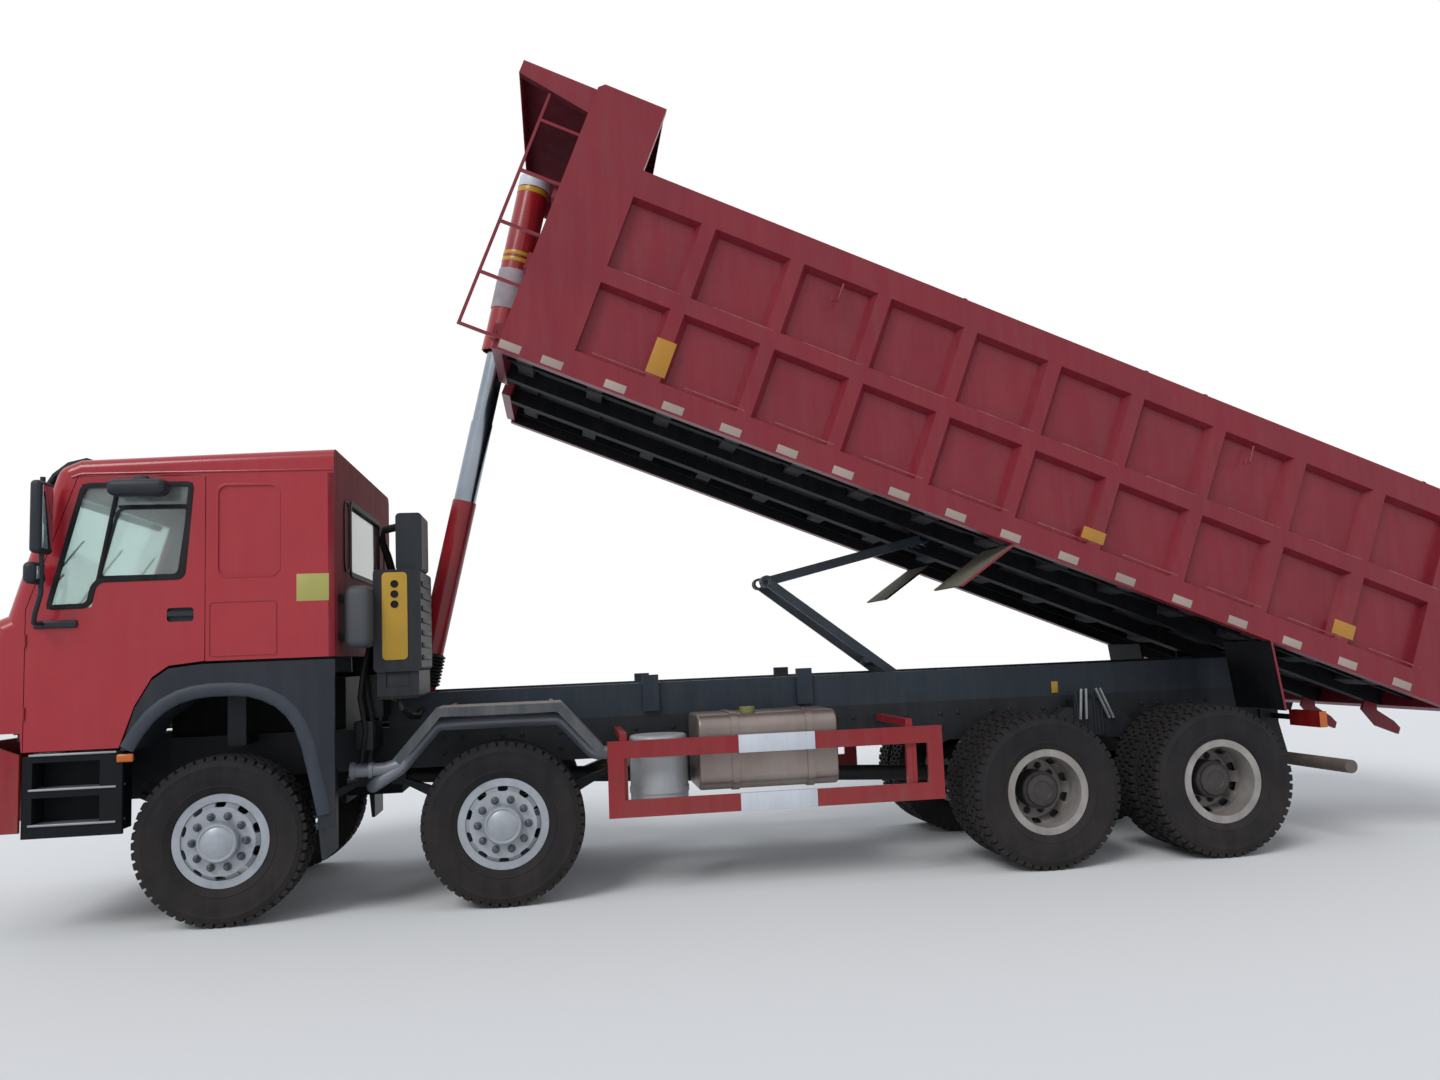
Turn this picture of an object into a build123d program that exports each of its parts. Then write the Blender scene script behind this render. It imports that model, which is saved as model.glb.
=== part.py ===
from build123d import *
import os
from math import atan2, cos, degrees, hypot, radians, sin

# An 8x4 tipper lorry with its body raised on a telescopic hoist. Millimetres.
# X runs rearwards from the first axle, Y to the lorry's right, Z up from the road.

# Wheels and axles
AXLE_X = (0, 1800, 5625, 6975)
TYRE_D = 1094
TYRE_W = 313
RIM_D = 525
STEER_TRACK = 2022
DUAL_INNER_Y = 740
DUAL_OUTER_Y = 1090
KINGPIN_Y = 880
RIM_EDGE = 106
RIM_LIP_R = 302
DISC_R = 222
DISC_T = 14
STEER_DISC_Y = 138
HAND_HOLES = 10
HAND_HOLE_R = 236
CAP_R = 118
HUB_R = 137
HUB_IN = 110
HUB_BORE_R = 42
BORE_DEPTH = 90
STUB_GAP = 40
RUNNING_FIT = 0.05
SEAT = 0.3

# Chassis
RAIL_Y = 430
RAIL_WEB = 8
RAIL_FLANGE = 80
RAIL_BOTTOM = 885
RAIL_H = 300
FRAME_FRONT = -1300
FRAME_END = 7980
SUB_H = 240
SUB_W = 100
SUB_FRONT = 960

# Tipping body, drawn lying level on the chassis and turned up about its hinge
HINGE_X = 7730
HINGE_Z = 1300
TIP_ANGLE = 21.67
BED_X = 1350
BED_Z = 1420
BED_L = 7600
BED_HALF_W = 1250
SIDE_H = 1600
FRONT_H = 2100
RIB_DEPTH = 70
SKIN = 15
FLOOR_V = 180
SILL_H = 115
SILL_GAP = 10
POST_W = 195
POST_FIRST = 1054
POST_PITCH = 686
POST_COUNT = 9
FRONT_POST_W = 510
REAR_POST_W = 450
CANOPY_REACH = 586
GATE_T = 85
GATE_HOOK_Y = 370
GATE_GAP = 6

# Hoist
HOIST_X = 1125
HOIST_Z = 1320
HOIST_PIN_U = -205
HOIST_PIN_V = 385
HOIST_BASE_L = 1612
HOIST_BASE_R = 93
HOIST_STEP = 25
HOIST_BASE_WALL = 8
STAGE_WALL = 5
STAGE_L = 1480
ROD_L = 1560
STAGE_TOTAL = 2472
COVER_R = 125
COVER_TOP = 1350
COVER_BELOW = 120
HOIST_POCKET_Y = 190

# Body stabiliser: two arms in a V between chassis and body
STAY_X = 5020
STAY_Z = 1270
STAY_KNEE = (3840, 2177)
STAY_BED = (5170, 2490)

# Cab
CAB_HALF_W = 1220
CAB_WALL = 40
CAB_REAR = 735
CAB_FRONT = -1400
CAB_BOTTOM = 1710
GUTTER_Z = 2935
ROOF_REAR_Z = 3104
TILT_X = -1330
TILT_Z = 1000
CAB_CORNER_R = 110
PANEL_GAP = 5
DOOR_FRONT = -1160
DOOR_PIN_X = -1162.5
DOOR_PIN_Y = 1228
DOOR_PIN_R = 10
GLASS_T = 6

# Bumper
BUMPER_FRONT = -1500
BUMPER_BOTTOM = 680
BUMPER_TOP = 1245
LAMP_Y0, LAMP_Y1 = 720, 1060
LAMP_Z0, LAMP_Z1 = 850, 1050
FRONT_TOW_X = -1530
FRONT_TOW_R = 20
REAR_TOW_X = 8040
REAR_TOW_R = 24

# Underrun gear
GUARD_Y = 1200
GUARD_FRONT = 2505
GUARD_REAR = 4865
REAR_BAR_X = 8020
REAR_BAR_Z = 595

WHEEL_Z = TYRE_D / 2
STAGE_R = [HOIST_BASE_R - HOIST_BASE_WALL - SEAT - (STAGE_WALL + SEAT) * i for i in range(4)]
RAIL_TOP = RAIL_BOTTOM + RAIL_H
SUB_TOP = RAIL_TOP + SUB_H
STEER_Y = STEER_TRACK / 2
PANEL_Y = BED_HALF_W - RIB_DEPTH
INSIDE_Y = PANEL_Y - SKIN


def block(x0, x1, y0, y1, z0, z1):
    """A box between two corners."""
    return Pos((x0 + x1) / 2, (y0 + y1) / 2, (z0 + z1) / 2) * Box(x1 - x0, y1 - y0, z1 - z0)


def side_plate(points, y0, y1):
    """An outline of (x, z) points, filled and given its thickness in Y."""
    face = make_face(Polyline(*points, close=True))
    return extrude(Plane.XZ.offset(-y1) * face, amount=y1 - y0)


def cross_plate(points, x0, x1):
    """An outline of (y, z) points, filled and given its thickness in X."""
    face = make_face(Polyline(*points, close=True))
    return extrude(Plane.YZ.offset(x0) * face, amount=x1 - x0)


def plan_plate(points, z0, z1):
    """An outline of (x, y) points, filled and given its thickness in Z."""
    face = make_face(Polyline(*points, close=True))
    return extrude(Plane.XY.offset(z0) * face, amount=z1 - z0)


def rod(start, end, radius):
    """A round bar from one point to another."""
    a = Vector(*start)
    b = Vector(*end)
    plane = Plane(origin=a, z_dir=b - a)
    return extrude(plane * Circle(radius), amount=(b - a).length)


def pin_y(x, z, y0, y1, radius):
    """A round bar across the lorry."""
    return rod((x, y0, z), (x, y1, z), radius)


def pipe(points, radius, bend):
    """A bent pipe along straight runs joined by arcs."""
    path = FilletPolyline(*points, radius=bend)
    return sweep(Plane(origin=path @ 0, z_dir=path % 0) * Circle(radius), path=path)


def both(part):
    """A piece and its mirror image on the lorry's other side."""
    return part + mirror(part, about=Plane.XZ)


def turned(points):
    """A body turned about the Y axis from (radius, y) points."""
    return revolve(make_face(Polyline(*points, close=True)), axis=Axis.Y)


def raised(part):
    """Turns a piece of the level body up about the tipping hinge."""
    return Pos(HINGE_X, 0, HINGE_Z) * Rot(0, TIP_ANGLE, 0) * Pos(-HINGE_X, 0, -HINGE_Z) * part


def raised_point(x, z):
    """Where a point of the level body goes when the body is raised."""
    c, s = cos(radians(TIP_ANGLE)), sin(radians(TIP_ANGLE))
    dx, dz = x - HINGE_X, z - HINGE_Z
    return HINGE_X + dx * c + dz * s, HINGE_Z - dx * s + dz * c


def bed_block(u0, u1, y0, y1, v0, v1):
    """A box in the body's own measures: u back from its front, v up from its lower edge."""
    return block(BED_X + u0, BED_X + u1, y0, y1, BED_Z + v0, BED_Z + v1)


def bed_plate(points, y0, y1):
    """An outline of (u, v) points in the body's own measures."""
    return side_plate([(BED_X + u, BED_Z + v) for u, v in points], y0, y1)


# Running gear


def tyre():
    """A tyre as one ring, from its bead to its plain tread."""
    tread_half = 0.37 * TYRE_W
    half = TYRE_W / 2
    right = [
        (RIM_D / 2 + SEAT, RIM_EDGE),
        (RIM_LIP_R + SEAT, RIM_EDGE),
        (RIM_LIP_R + 6, RIM_EDGE + 20),
        (0.73 * WHEEL_Z, 0.49 * TYRE_W),
        (0.81 * WHEEL_Z, half),
        (0.92 * WHEEL_Z, 0.47 * TYRE_W),
        (0.975 * WHEEL_Z, tread_half + 8),
        (WHEEL_Z, tread_half - 8),
    ]
    return turned(right + [(r, -y) for r, y in reversed(right)])


def rim(disc_y):
    """A disc wheel: the barrel with its two lips, and a cone out to a flat disc with hand holes."""
    seat_r = RIM_D / 2
    bore_r = seat_r - 12
    edge = RIM_EDGE + SEAT
    lip = edge + 12
    barrel = turned(
        [(bore_r, -lip), (RIM_LIP_R, -lip), (RIM_LIP_R, -edge), (seat_r, -edge),
         (seat_r, edge), (RIM_LIP_R, edge), (RIM_LIP_R, lip), (bore_r, lip)]
    )
    way = 1 if disc_y > 0 else -1
    face = abs(disc_y)
    cone = turned(
        [(bore_r + 2, way * (edge - 30)), (bore_r + 2, way * edge), (DISC_R, way * (face + DISC_T / 2)),
         (0, way * (face + DISC_T / 2)), (0, way * (face - DISC_T / 2)), (DISC_R - 8, way * (face - DISC_T / 2))]
    )
    hole = extrude(Plane.XZ * (Pos(0, HAND_HOLE_R) * SlotCenterToCenter(32, 36)), amount=-way * 400)
    for i in range(HAND_HOLES):
        cone -= Rot(0, 360 / HAND_HOLES * i, 0) * hole
    return barrel + cone


def steer_rim(side):
    """A front wheel with its disc outboard; the stub axle enters its hub from inboard."""
    wheel = rim(STEER_DISC_Y) + pin_y(0, 0, -STUB_GAP, STEER_DISC_Y + 20, CAP_R) + pin_y(0, 0, 0, STEER_DISC_Y + 65, CAP_R - 14)
    wheel -= pin_y(0, 0, -STUB_GAP - 1, BORE_DEPTH - STUB_GAP, HUB_BORE_R + RUNNING_FIT)
    return wheel if side > 0 else mirror(wheel, about=Plane.XZ)


def dual_rims(side):
    """Two dished wheels bolted back to back on one hub."""
    spread = (DUAL_OUTER_Y - DUAL_INNER_Y) / 2
    offset = spread - DISC_T / 2
    wheel = Pos(0, -spread, 0) * rim(offset) + Pos(0, spread, 0) * rim(-offset)
    wheel += pin_y(0, 0, -HUB_IN, spread - 15, HUB_R)
    wheel -= pin_y(0, 0, -HUB_IN - 1, BORE_DEPTH - HUB_IN, HUB_BORE_R + RUNNING_FIT)
    return wheel if side > 0 else mirror(wheel, about=Plane.XZ)


SIDES = (("left", -1), ("right", 1))
nodes = {}
for axle, axle_x in enumerate(AXLE_X, start=1):
    for side_name, side in SIDES:
        if axle <= 2:
            place = Pos(axle_x, side * STEER_Y, WHEEL_Z)
            nodes[f"tyre_{axle}_{side_name}"] = place * tyre()
            nodes[f"rim_{axle}_{side_name}"] = place * steer_rim(side)
        else:
            twin = [Pos(axle_x, side * y, WHEEL_Z) * tyre() for y in (DUAL_INNER_Y, DUAL_OUTER_Y)]
            nodes[f"tyre_{axle}_{side_name}"] = Compound(children=twin)
            middle = side * (DUAL_INNER_Y + DUAL_OUTER_Y) / 2
            nodes[f"rim_{axle}_{side_name}"] = Pos(axle_x, middle, WHEEL_Z) * dual_rims(side)

KNUCKLE_R = 55
PIN_R = 22
BEAM_H = 110
BEAM_Z = WHEEL_Z - 30
BEAM_END_Y = KINGPIN_Y - KNUCKLE_R
FORK_GAP = 150


def knuckle(axle_x, side):
    """A steering knuckle: a forked block on the kingpin with its stub axle and steering arm."""
    hub_y = STEER_Y - STUB_GAP
    back = KINGPIN_Y + KNUCKLE_R
    body = Pos(axle_x, KINGPIN_Y, BEAM_Z) * Cylinder(KNUCKLE_R, FORK_GAP + 90)
    body -= block(axle_x - 80, axle_x + 80, 0, back + 10, BEAM_Z - FORK_GAP / 2, BEAM_Z + FORK_GAP / 2)
    body += block(axle_x - 60, axle_x + 60, back - 3, hub_y - 12, BEAM_Z - FORK_GAP / 2 - 45, BEAM_Z + FORK_GAP / 2 + 45)
    body += pin_y(axle_x, WHEEL_Z, hub_y - 20, hub_y + BORE_DEPTH - 5, HUB_BORE_R)
    body += block(axle_x + 40, axle_x + 210, back - 3, hub_y - 20, BEAM_Z - 100, BEAM_Z - 70)
    body -= Pos(axle_x, KINGPIN_Y, BEAM_Z) * Cylinder(PIN_R + RUNNING_FIT, 400)
    return body if side > 0 else mirror(body, about=Plane.XZ)


for axle in (1, 2):
    for side_name, side in SIDES:
        nodes[f"knuckle_{axle}_{side_name}"] = knuckle(AXLE_X[axle - 1], side)

SPRING_Y = RAIL_Y - 45
SPRING_W = 90
SPRING_SPAN = 780
EYE_Z = RAIL_BOTTOM - 70


def front_axle(axle_x):
    """A dropped forged beam with kingpins, carrying the two springs."""
    drop = 60
    beam = cross_plate(
        [
            (0, BEAM_Z - drop - BEAM_H / 2),
            (620, BEAM_Z - drop - BEAM_H / 2),
            (BEAM_END_Y, BEAM_Z - BEAM_H / 2),
            (KINGPIN_Y, BEAM_Z - BEAM_H / 2),
            (KINGPIN_Y, BEAM_Z + BEAM_H / 2),
            (BEAM_END_Y, BEAM_Z + BEAM_H / 2),
            (560, BEAM_Z - drop + BEAM_H / 2),
            (0, BEAM_Z - drop + BEAM_H / 2),
        ],
        axle_x - 50,
        axle_x + 50,
    )
    beam += Pos(axle_x, KINGPIN_Y, BEAM_Z) * Cylinder(50, BEAM_H)
    beam += Pos(axle_x, KINGPIN_Y, BEAM_Z) * Cylinder(PIN_R, FORK_GAP + 90)
    return both(beam)


def front_spring(axle_x):
    """A leaf pack from eye to eye, resting on the axle beam."""
    seat = BEAM_Z - 60 + BEAM_H / 2
    pack = side_plate(
        [
            (axle_x - SPRING_SPAN, EYE_Z + 15),
            (axle_x - SPRING_SPAN, EYE_Z - 15),
            (axle_x - 420, seat + 90),
            (axle_x - 90, seat),
            (axle_x + 90, seat),
            (axle_x + 420, seat + 90),
            (axle_x + SPRING_SPAN, EYE_Z - 15),
            (axle_x + SPRING_SPAN, EYE_Z + 15),
            (axle_x + 400, seat + 180),
            (axle_x, seat + 120),
            (axle_x - 400, seat + 180),
        ],
        SPRING_Y - SPRING_W / 2,
        SPRING_Y + SPRING_W / 2,
    )
    for end in (-1, 1):
        x = axle_x + end * SPRING_SPAN
        pack += side_plate(
            [(x - 45, EYE_Z - 40), (x + 45, EYE_Z - 40), (x + 60, RAIL_BOTTOM), (x - 60, RAIL_BOTTOM)],
            SPRING_Y - SPRING_W / 2,
            SPRING_Y + SPRING_W / 2,
        )
    return pack


AXLE_TUBE_R = 80
SPINDLE_Y = (DUAL_INNER_Y + DUAL_OUTER_Y) / 2 - 110


def rear_axle(axle_x):
    """A drive axle: housing, round differential case and the spindles in the wheel hubs."""
    half = pin_y(axle_x, WHEEL_Z, 0, SPINDLE_Y - 12, AXLE_TUBE_R)
    half += pin_y(axle_x, WHEEL_Z, 570, SPINDLE_Y - 12, 205)
    half += pin_y(axle_x, WHEEL_Z, SPINDLE_Y - 20, SPINDLE_Y + BORE_DEPTH - 5, HUB_BORE_R)
    axle = both(half)
    axle += Pos(axle_x, 0, WHEEL_Z) * Sphere(215)
    axle += rod((axle_x - 330, 0, WHEEL_Z + 40), (axle_x, 0, WHEEL_Z), 110)
    return axle


BOGIE_X = (AXLE_X[2] + AXLE_X[3]) / 2
BOGIE_Y0 = RAIL_Y + 25
BOGIE_Y1 = BOGIE_Y0 + 100
BOGIE_TOP = 1090


U_BOLT_TOP = 1215
U_BOLT_R = 13


def bogie_spring():
    """The inverted leaf pack over the two drive axles, clamped on its trunnion."""
    half_span = (AXLE_X[3] - AXLE_X[2]) / 2 + 60
    end_z = WHEEL_Z + AXLE_TUBE_R
    pack = side_plate(
        [
            (BOGIE_X - half_span, end_z),
            (BOGIE_X - half_span + 120, end_z),
            (BOGIE_X - 330, BOGIE_TOP - 260),
            (BOGIE_X, BOGIE_TOP - 220),
            (BOGIE_X + 330, BOGIE_TOP - 260),
            (BOGIE_X + half_span - 120, end_z),
            (BOGIE_X + half_span, end_z),
            (BOGIE_X + half_span, end_z + 45),
            (BOGIE_X + 200, BOGIE_TOP),
            (BOGIE_X - 200, BOGIE_TOP),
            (BOGIE_X - half_span, end_z + 45),
        ],
        BOGIE_Y0,
        BOGIE_Y1,
    )
    pack += block(BOGIE_X - 130, BOGIE_X + 130, RAIL_Y, BOGIE_Y1 + 10, BOGIE_TOP - 220, BOGIE_TOP + 60)
    for x in (-100, -40, 40, 100):
        pack += rod((BOGIE_X + x, BOGIE_Y1 + 8, BOGIE_TOP - 210), (BOGIE_X + x, BOGIE_Y1 + 8, U_BOLT_TOP), U_BOLT_R)
    return pack


axles = front_axle(AXLE_X[0]) + front_axle(AXLE_X[1]) + rear_axle(AXLE_X[2]) + rear_axle(AXLE_X[3])
nodes["axles"] = axles
springs = [front_spring(x) for x in AXLE_X[:2]] + [bogie_spring()]
nodes["springs"] = Compound(children=springs + [mirror(s, about=Plane.XZ) for s in springs])

# Chassis

CROSS_X = (-1220, 1320, 2300, 3300, 4300, 5150, BOGIE_X, 7150, 7900)


def rail():
    """One pressed channel rail, open inwards."""
    web = block(FRAME_FRONT, FRAME_END, RAIL_Y - RAIL_WEB, RAIL_Y, RAIL_BOTTOM, RAIL_TOP)
    for z in (RAIL_BOTTOM, RAIL_TOP - RAIL_WEB):
        web += block(FRAME_FRONT, FRAME_END, RAIL_Y - RAIL_FLANGE, RAIL_Y, z, z + RAIL_WEB)
    return web


def frame():
    """Rails, cross-members, the cab's hinge brackets and the rear underrun bar."""
    body = both(rail())
    for x in CROSS_X:
        body += block(x - 60, x + 60, -RAIL_Y + RAIL_WEB, RAIL_Y - RAIL_WEB, RAIL_BOTTOM + 60, RAIL_BOTTOM + 70)
        body += block(x - 60, x + 60, -RAIL_Y + RAIL_WEB, RAIL_Y - RAIL_WEB, RAIL_TOP - 70, RAIL_TOP - 60)
        body += block(x - 5, x + 5, -RAIL_Y + RAIL_WEB, RAIL_Y - RAIL_WEB, RAIL_BOTTOM + 60, RAIL_TOP - 60)
    bracket = block(TILT_X - 60, TILT_X + 120, RAIL_Y, RAIL_Y + 20, TILT_Z - 60, TILT_Z + 60)
    bracket += pin_y(TILT_X, TILT_Z, RAIL_Y, RAIL_Y + 75, PIN_R)
    hanger = side_plate(
        [(FRAME_END - 160, RAIL_TOP - 20), (FRAME_END, RAIL_TOP - 20), (FRAME_END, RAIL_BOTTOM),
         (REAR_BAR_X + 30, REAR_BAR_Z - 20), (REAR_BAR_X - 40, REAR_BAR_Z - 20), (FRAME_END - 160, RAIL_BOTTOM)],
        RAIL_Y,
        RAIL_Y + 15,
    )
    body += both(bracket + hanger)
    body += pin_y(REAR_BAR_X, REAR_BAR_Z, -GUARD_Y, GUARD_Y, 50)
    body += block(CROSS_X[-1], REAR_TOW_X, -25, 25, 950, 1050) + pin_y(REAR_TOW_X, 1000, -25, 25, 50)
    return body - pin_y(REAR_TOW_X, 1000, -100, 100, REAR_TOW_R)


def subframe():
    """The tipping subframe: two box rails, rounded at the hinge, with its cross-members and hoist cradle."""
    side = block(SUB_FRONT, HINGE_X, RAIL_Y - SUB_W, RAIL_Y, RAIL_TOP, SUB_TOP)
    side += pin_y(HINGE_X, HINGE_Z, RAIL_Y - SUB_W, RAIL_Y, HINGE_Z - RAIL_TOP)
    side += pin_y(HINGE_X, HINGE_Z, RAIL_Y, RAIL_Y + 45, PIN_R + 8)
    for x in (2870, 4050):
        side += block(x - 60, x + 60, RAIL_Y, RAIL_Y + 40, RAIL_TOP + 30, SUB_TOP + 60)
    body = both(side)
    inner = RAIL_Y - SUB_W
    for x in (SUB_FRONT + 50, 2100, 3300, 5650, 6900, HINGE_X - 200):
        body += block(x - 50, x + 50, -inner, inner, RAIL_TOP, RAIL_TOP + 120)
    body += block(HOIST_X - 150, HOIST_X + 150, -inner, inner, RAIL_TOP, RAIL_TOP + 30)
    ear = block(HOIST_X - 70, HOIST_X + 70, HOIST_BASE_R + 15, HOIST_BASE_R + 45, RAIL_TOP, HOIST_Z + 70)
    body += both(ear)
    body += pin_y(HOIST_X, HOIST_Z, -HOIST_BASE_R - 60, HOIST_BASE_R + 60, PIN_R + 8)
    body += pin_y(STAY_X, STAY_Z, -inner, inner, PIN_R + 8)
    return body


nodes["frame"] = frame()
nodes["subframe"] = subframe()
engine = block(-560, 640, -330, 330, 650, 1560)
gearbox = block(640, 1020, -220, 220, 690, 1100)
nodes["engine"] = engine + gearbox
PROP_R = 60
prop = rod((1020, 0, 800), (1060, 0, 800), PROP_R) + rod((1050, 0, 800), (AXLE_X[2] - 330, 0, WHEEL_Z + 40), PROP_R)
prop += rod((AXLE_X[2] + 210, 0, WHEEL_Z + 40), (AXLE_X[3] - 330, 0, WHEEL_Z + 40), PROP_R)
nodes["axles"] = nodes["axles"] + prop

FLAP_X = 640
ARCH_PANEL = 30


def wheel_arch():
    """The arch round the first steered wheel: side panel, roof sheet and rear flap."""
    opening = [(-520, 1160), (-400, 1350), (-240, 1460), (-60, 1496), (200, 1490), (370, 1420), (490, 1280), (590, 920)]
    outer = [(-585, 1165), (-500, 1430), (-400, 1600), (-300, 1672), (-90, 1692), (CAB_REAR - 5, 1692)]
    skin = opening + [(FLAP_X, 600), (CAB_REAR - 5, 600)] + outer[::-1]
    body = side_plate(skin, CAB_HALF_W - ARCH_PANEL, CAB_HALF_W)
    roof = opening + [(FLAP_X, 400), (FLAP_X + 25, 400), (FLAP_X + 25, 920), (520, 1300), (390, 1445),
                      (205, 1520), (-65, 1526), (-255, 1488), (-422, 1372), (-545, 1172)]
    body += side_plate(roof, RAIL_Y + 330, CAB_HALF_W - ARCH_PANEL)
    body += block(-60, 60, RAIL_Y, RAIL_Y + 340, 1130, 1180) + block(-60, 60, RAIL_Y + 300, RAIL_Y + 340, 1130, 1500)
    return body


def mudguard():
    """The bent sheet over the second steered wheel, on two arms from the rail."""
    t = 8
    top = [(1100, 1020), (1380, 1340), (2200, 1340), (2480, 1030)]
    under = [(2480 - t, 1030), (2200 - t, 1340 - t), (1380 + t, 1340 - t), (1100 + t, 1020)]
    outer_y = BED_HALF_W - 20
    body = side_plate(top + under, RAIL_Y + 330, outer_y)
    lip = [(2434, 990), (2173, 1280), (1407, 1280), (1145, 980)]
    body += side_plate(top + lip, outer_y - t, outer_y)
    for x in (1440, 2130):
        body += pin_y(x, 1340 - 20, RAIL_Y, BED_HALF_W - 60, 22)
    return body


nodes["wheel_arches"] = Compound(children=[wheel_arch(), mirror(wheel_arch(), about=Plane.XZ)])
nodes["mudguards"] = Compound(children=[mudguard(), mirror(mudguard(), about=Plane.XZ)])

EXHAUST_Y = -850
MUFFLER_X = 2880
MUFFLER_R = 205


def exhaust():
    """The pipe from the engine over the second wheel to an upright drum silencer."""
    run = pipe(
        [(641, -275, 810), (900, -275, 810), (900, EXHAUST_Y, 810), (1100, EXHAUST_Y, 930),
         (1350, EXHAUST_Y, 1215), (2190, EXHAUST_Y, 1215), (2420, EXHAUST_Y, 960), (MUFFLER_X, EXHAUST_Y, 960)],
        46,
        80,
    )
    drum = Pos(MUFFLER_X, EXHAUST_Y, 820) * Cylinder(MUFFLER_R, 500)
    drum = fillet(drum.edges().filter_by(GeomType.CIRCLE), 25)
    straps = [Pos(MUFFLER_X, EXHAUST_Y, z) * Cylinder(MUFFLER_R + 6, 40) for z in (690, 950)]
    arm = block(MUFFLER_X - 30, MUFFLER_X + 30, EXHAUST_Y + MUFFLER_R - 20, -RAIL_Y, 900, 1000)
    return run + drum + straps + arm


nodes["exhaust"] = exhaust()

TANK_X0, TANK_X1 = 3140, 4130
TANK_Z0, TANK_Z1 = 680, 1200
TANK_Y0, TANK_Y1 = 500, 1120


def fuel_tank():
    """A rounded alloy tank in two straps on L brackets."""
    shell = block(TANK_X0, TANK_X1, -TANK_Y1, -TANK_Y0, TANK_Z0, TANK_Z1)
    shell = fillet(shell.edges().filter_by(Axis.X), 90)
    shell = fillet(shell.edges().group_by(Axis.X)[0] + shell.edges().group_by(Axis.X)[-1], 20)
    strap = block(0, 50, -TANK_Y1 - 8, -TANK_Y0, TANK_Z0 - 8, TANK_Z1 + 8)
    strap = fillet(strap.edges().filter_by(Axis.X), 95)
    for x in (3370, 3905):
        shell += Pos(x, 0, 0) * strap
        shell += block(x, x + 50, -TANK_Y0 - 10, -RAIL_Y, TANK_Z0, RAIL_TOP - 20)
    shell += Pos(3510, -980, TANK_Z1 + 15) * Cylinder(55, 50)
    return shell


nodes["fuel_tank"] = fuel_tank()


def battery_box():
    """The battery box and two air reservoirs that hang on the right-hand rail."""
    box = fillet(block(2760, 3340, 600, 1080, 620, 1010).edges().filter_by(Axis.X), 25)
    for x in (2860, 3190):
        box += block(x, x + 50, RAIL_Y, 640, 700, 1100)
    tanks = []
    for x in (3560, 4100):
        tank = rod((x, 660, 800), (x + 440, 660, 800), RESERVOIR_R)
        tank = fillet(tank.edges(), 40)
        for hanger in (x + 80, x + 320):
            tank += block(hanger, hanger + 40, RAIL_Y, 600, 820, 1080)
        tanks.append(tank)
    return Compound(children=[box, *tanks])


RESERVOIR_R = 130
nodes["battery_box"] = battery_box()


def side_guard():
    """Two planks on end posts, held out from the rail by two arms."""
    body = block(GUARD_FRONT, GUARD_REAR, GUARD_Y - 30, GUARD_Y, 545, 662)
    body += block(GUARD_FRONT, GUARD_REAR, GUARD_Y - 30, GUARD_Y, 940, 1057)
    for x in (GUARD_FRONT, GUARD_REAR - 110):
        body += block(x, x + 110, GUARD_Y - 30, GUARD_Y, 545, 1057)
    for x in (GUARD_FRONT + 85, GUARD_REAR - 255):
        body += block(x, x + 50, GUARD_Y - 70, GUARD_Y - 30, 560, 1100)
        body += block(x, x + 50, RAIL_Y, GUARD_Y - 30, 1060, 1110)
    return body


nodes["side_guards"] = Compound(children=[side_guard(), mirror(side_guard(), about=Plane.XZ)])


def steps():
    """The two-step entry box under each door, carried on the rail."""
    x0, x1 = -1170, -575
    body = block(x0, x1 - 75, RAIL_Y + 400, CAB_HALF_W - 15, 640, 1150)
    body += block(x0, x1, CAB_HALF_W - 45, CAB_HALF_W - 15, 640, 1150)
    for z in (715, 935):
        body -= block(x0 + 60, x1 - 135, CAB_HALF_W - 190, CAB_HALF_W, z, z + 175)
    body += block(-1020, -900, RAIL_Y, RAIL_Y + 420, 900, 1000)
    return body


nodes["steps"] = Compound(children=[steps(), mirror(steps(), about=Plane.XZ)])


def bumper():
    """A steel bumper skin wrapped round the corners, with lamp openings, on two stays."""
    outer = block(BUMPER_FRONT, -1182, -CAB_HALF_W, CAB_HALF_W, BUMPER_BOTTOM, BUMPER_TOP)
    outer = fillet(outer.edges().filter_by(Axis.Z).group_by(Axis.X)[0], 140)
    inner = block(BUMPER_FRONT + 30, -1100, -CAB_HALF_W + 30, CAB_HALF_W - 30, 0, 2000)
    inner = fillet(inner.edges().filter_by(Axis.Z).group_by(Axis.X)[0], 112)
    skin = outer - inner
    skin -= side_plate([(-1100, 1130), (-1100, 1400), (-1364, 1400), (-1364, 1218), (-1330, 1222)], -2000, 2000)
    skin -= both(block(-1600, -1400, LAMP_Y0, LAMP_Y1, LAMP_Z0, LAMP_Z1))
    skin += both(block(BUMPER_FRONT + 20, FRAME_FRONT, RAIL_Y - RAIL_FLANGE, RAIL_Y, 900, 1080))
    eye = block(FRONT_TOW_X, FRAME_FRONT, -40, 40, 900, 960) + Pos(FRONT_TOW_X, 0, 930) * Cylinder(40, 60)
    return skin + eye - Pos(FRONT_TOW_X, 0, 930) * Cylinder(FRONT_TOW_R, 200)


nodes["bumper"] = bumper()
lamp = block(BUMPER_FRONT + 6, -1400, LAMP_Y0 + SEAT, LAMP_Y1 - SEAT, LAMP_Z0 + SEAT, LAMP_Z1 - SEAT)
rear_lamp = block(7900, 7960, 700, 1060, 880, 1000) + block(7920, 7950, RAIL_Y + 15, 760, 920, 960)
nodes["lamps"] = Compound(
    children=[lamp, mirror(lamp, about=Plane.XZ), rear_lamp, mirror(rear_lamp, about=Plane.XZ)]
)

OIL_X0, OIL_X1 = 945, 1264
OIL_Z0, OIL_Z1 = 1590, 2290


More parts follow.
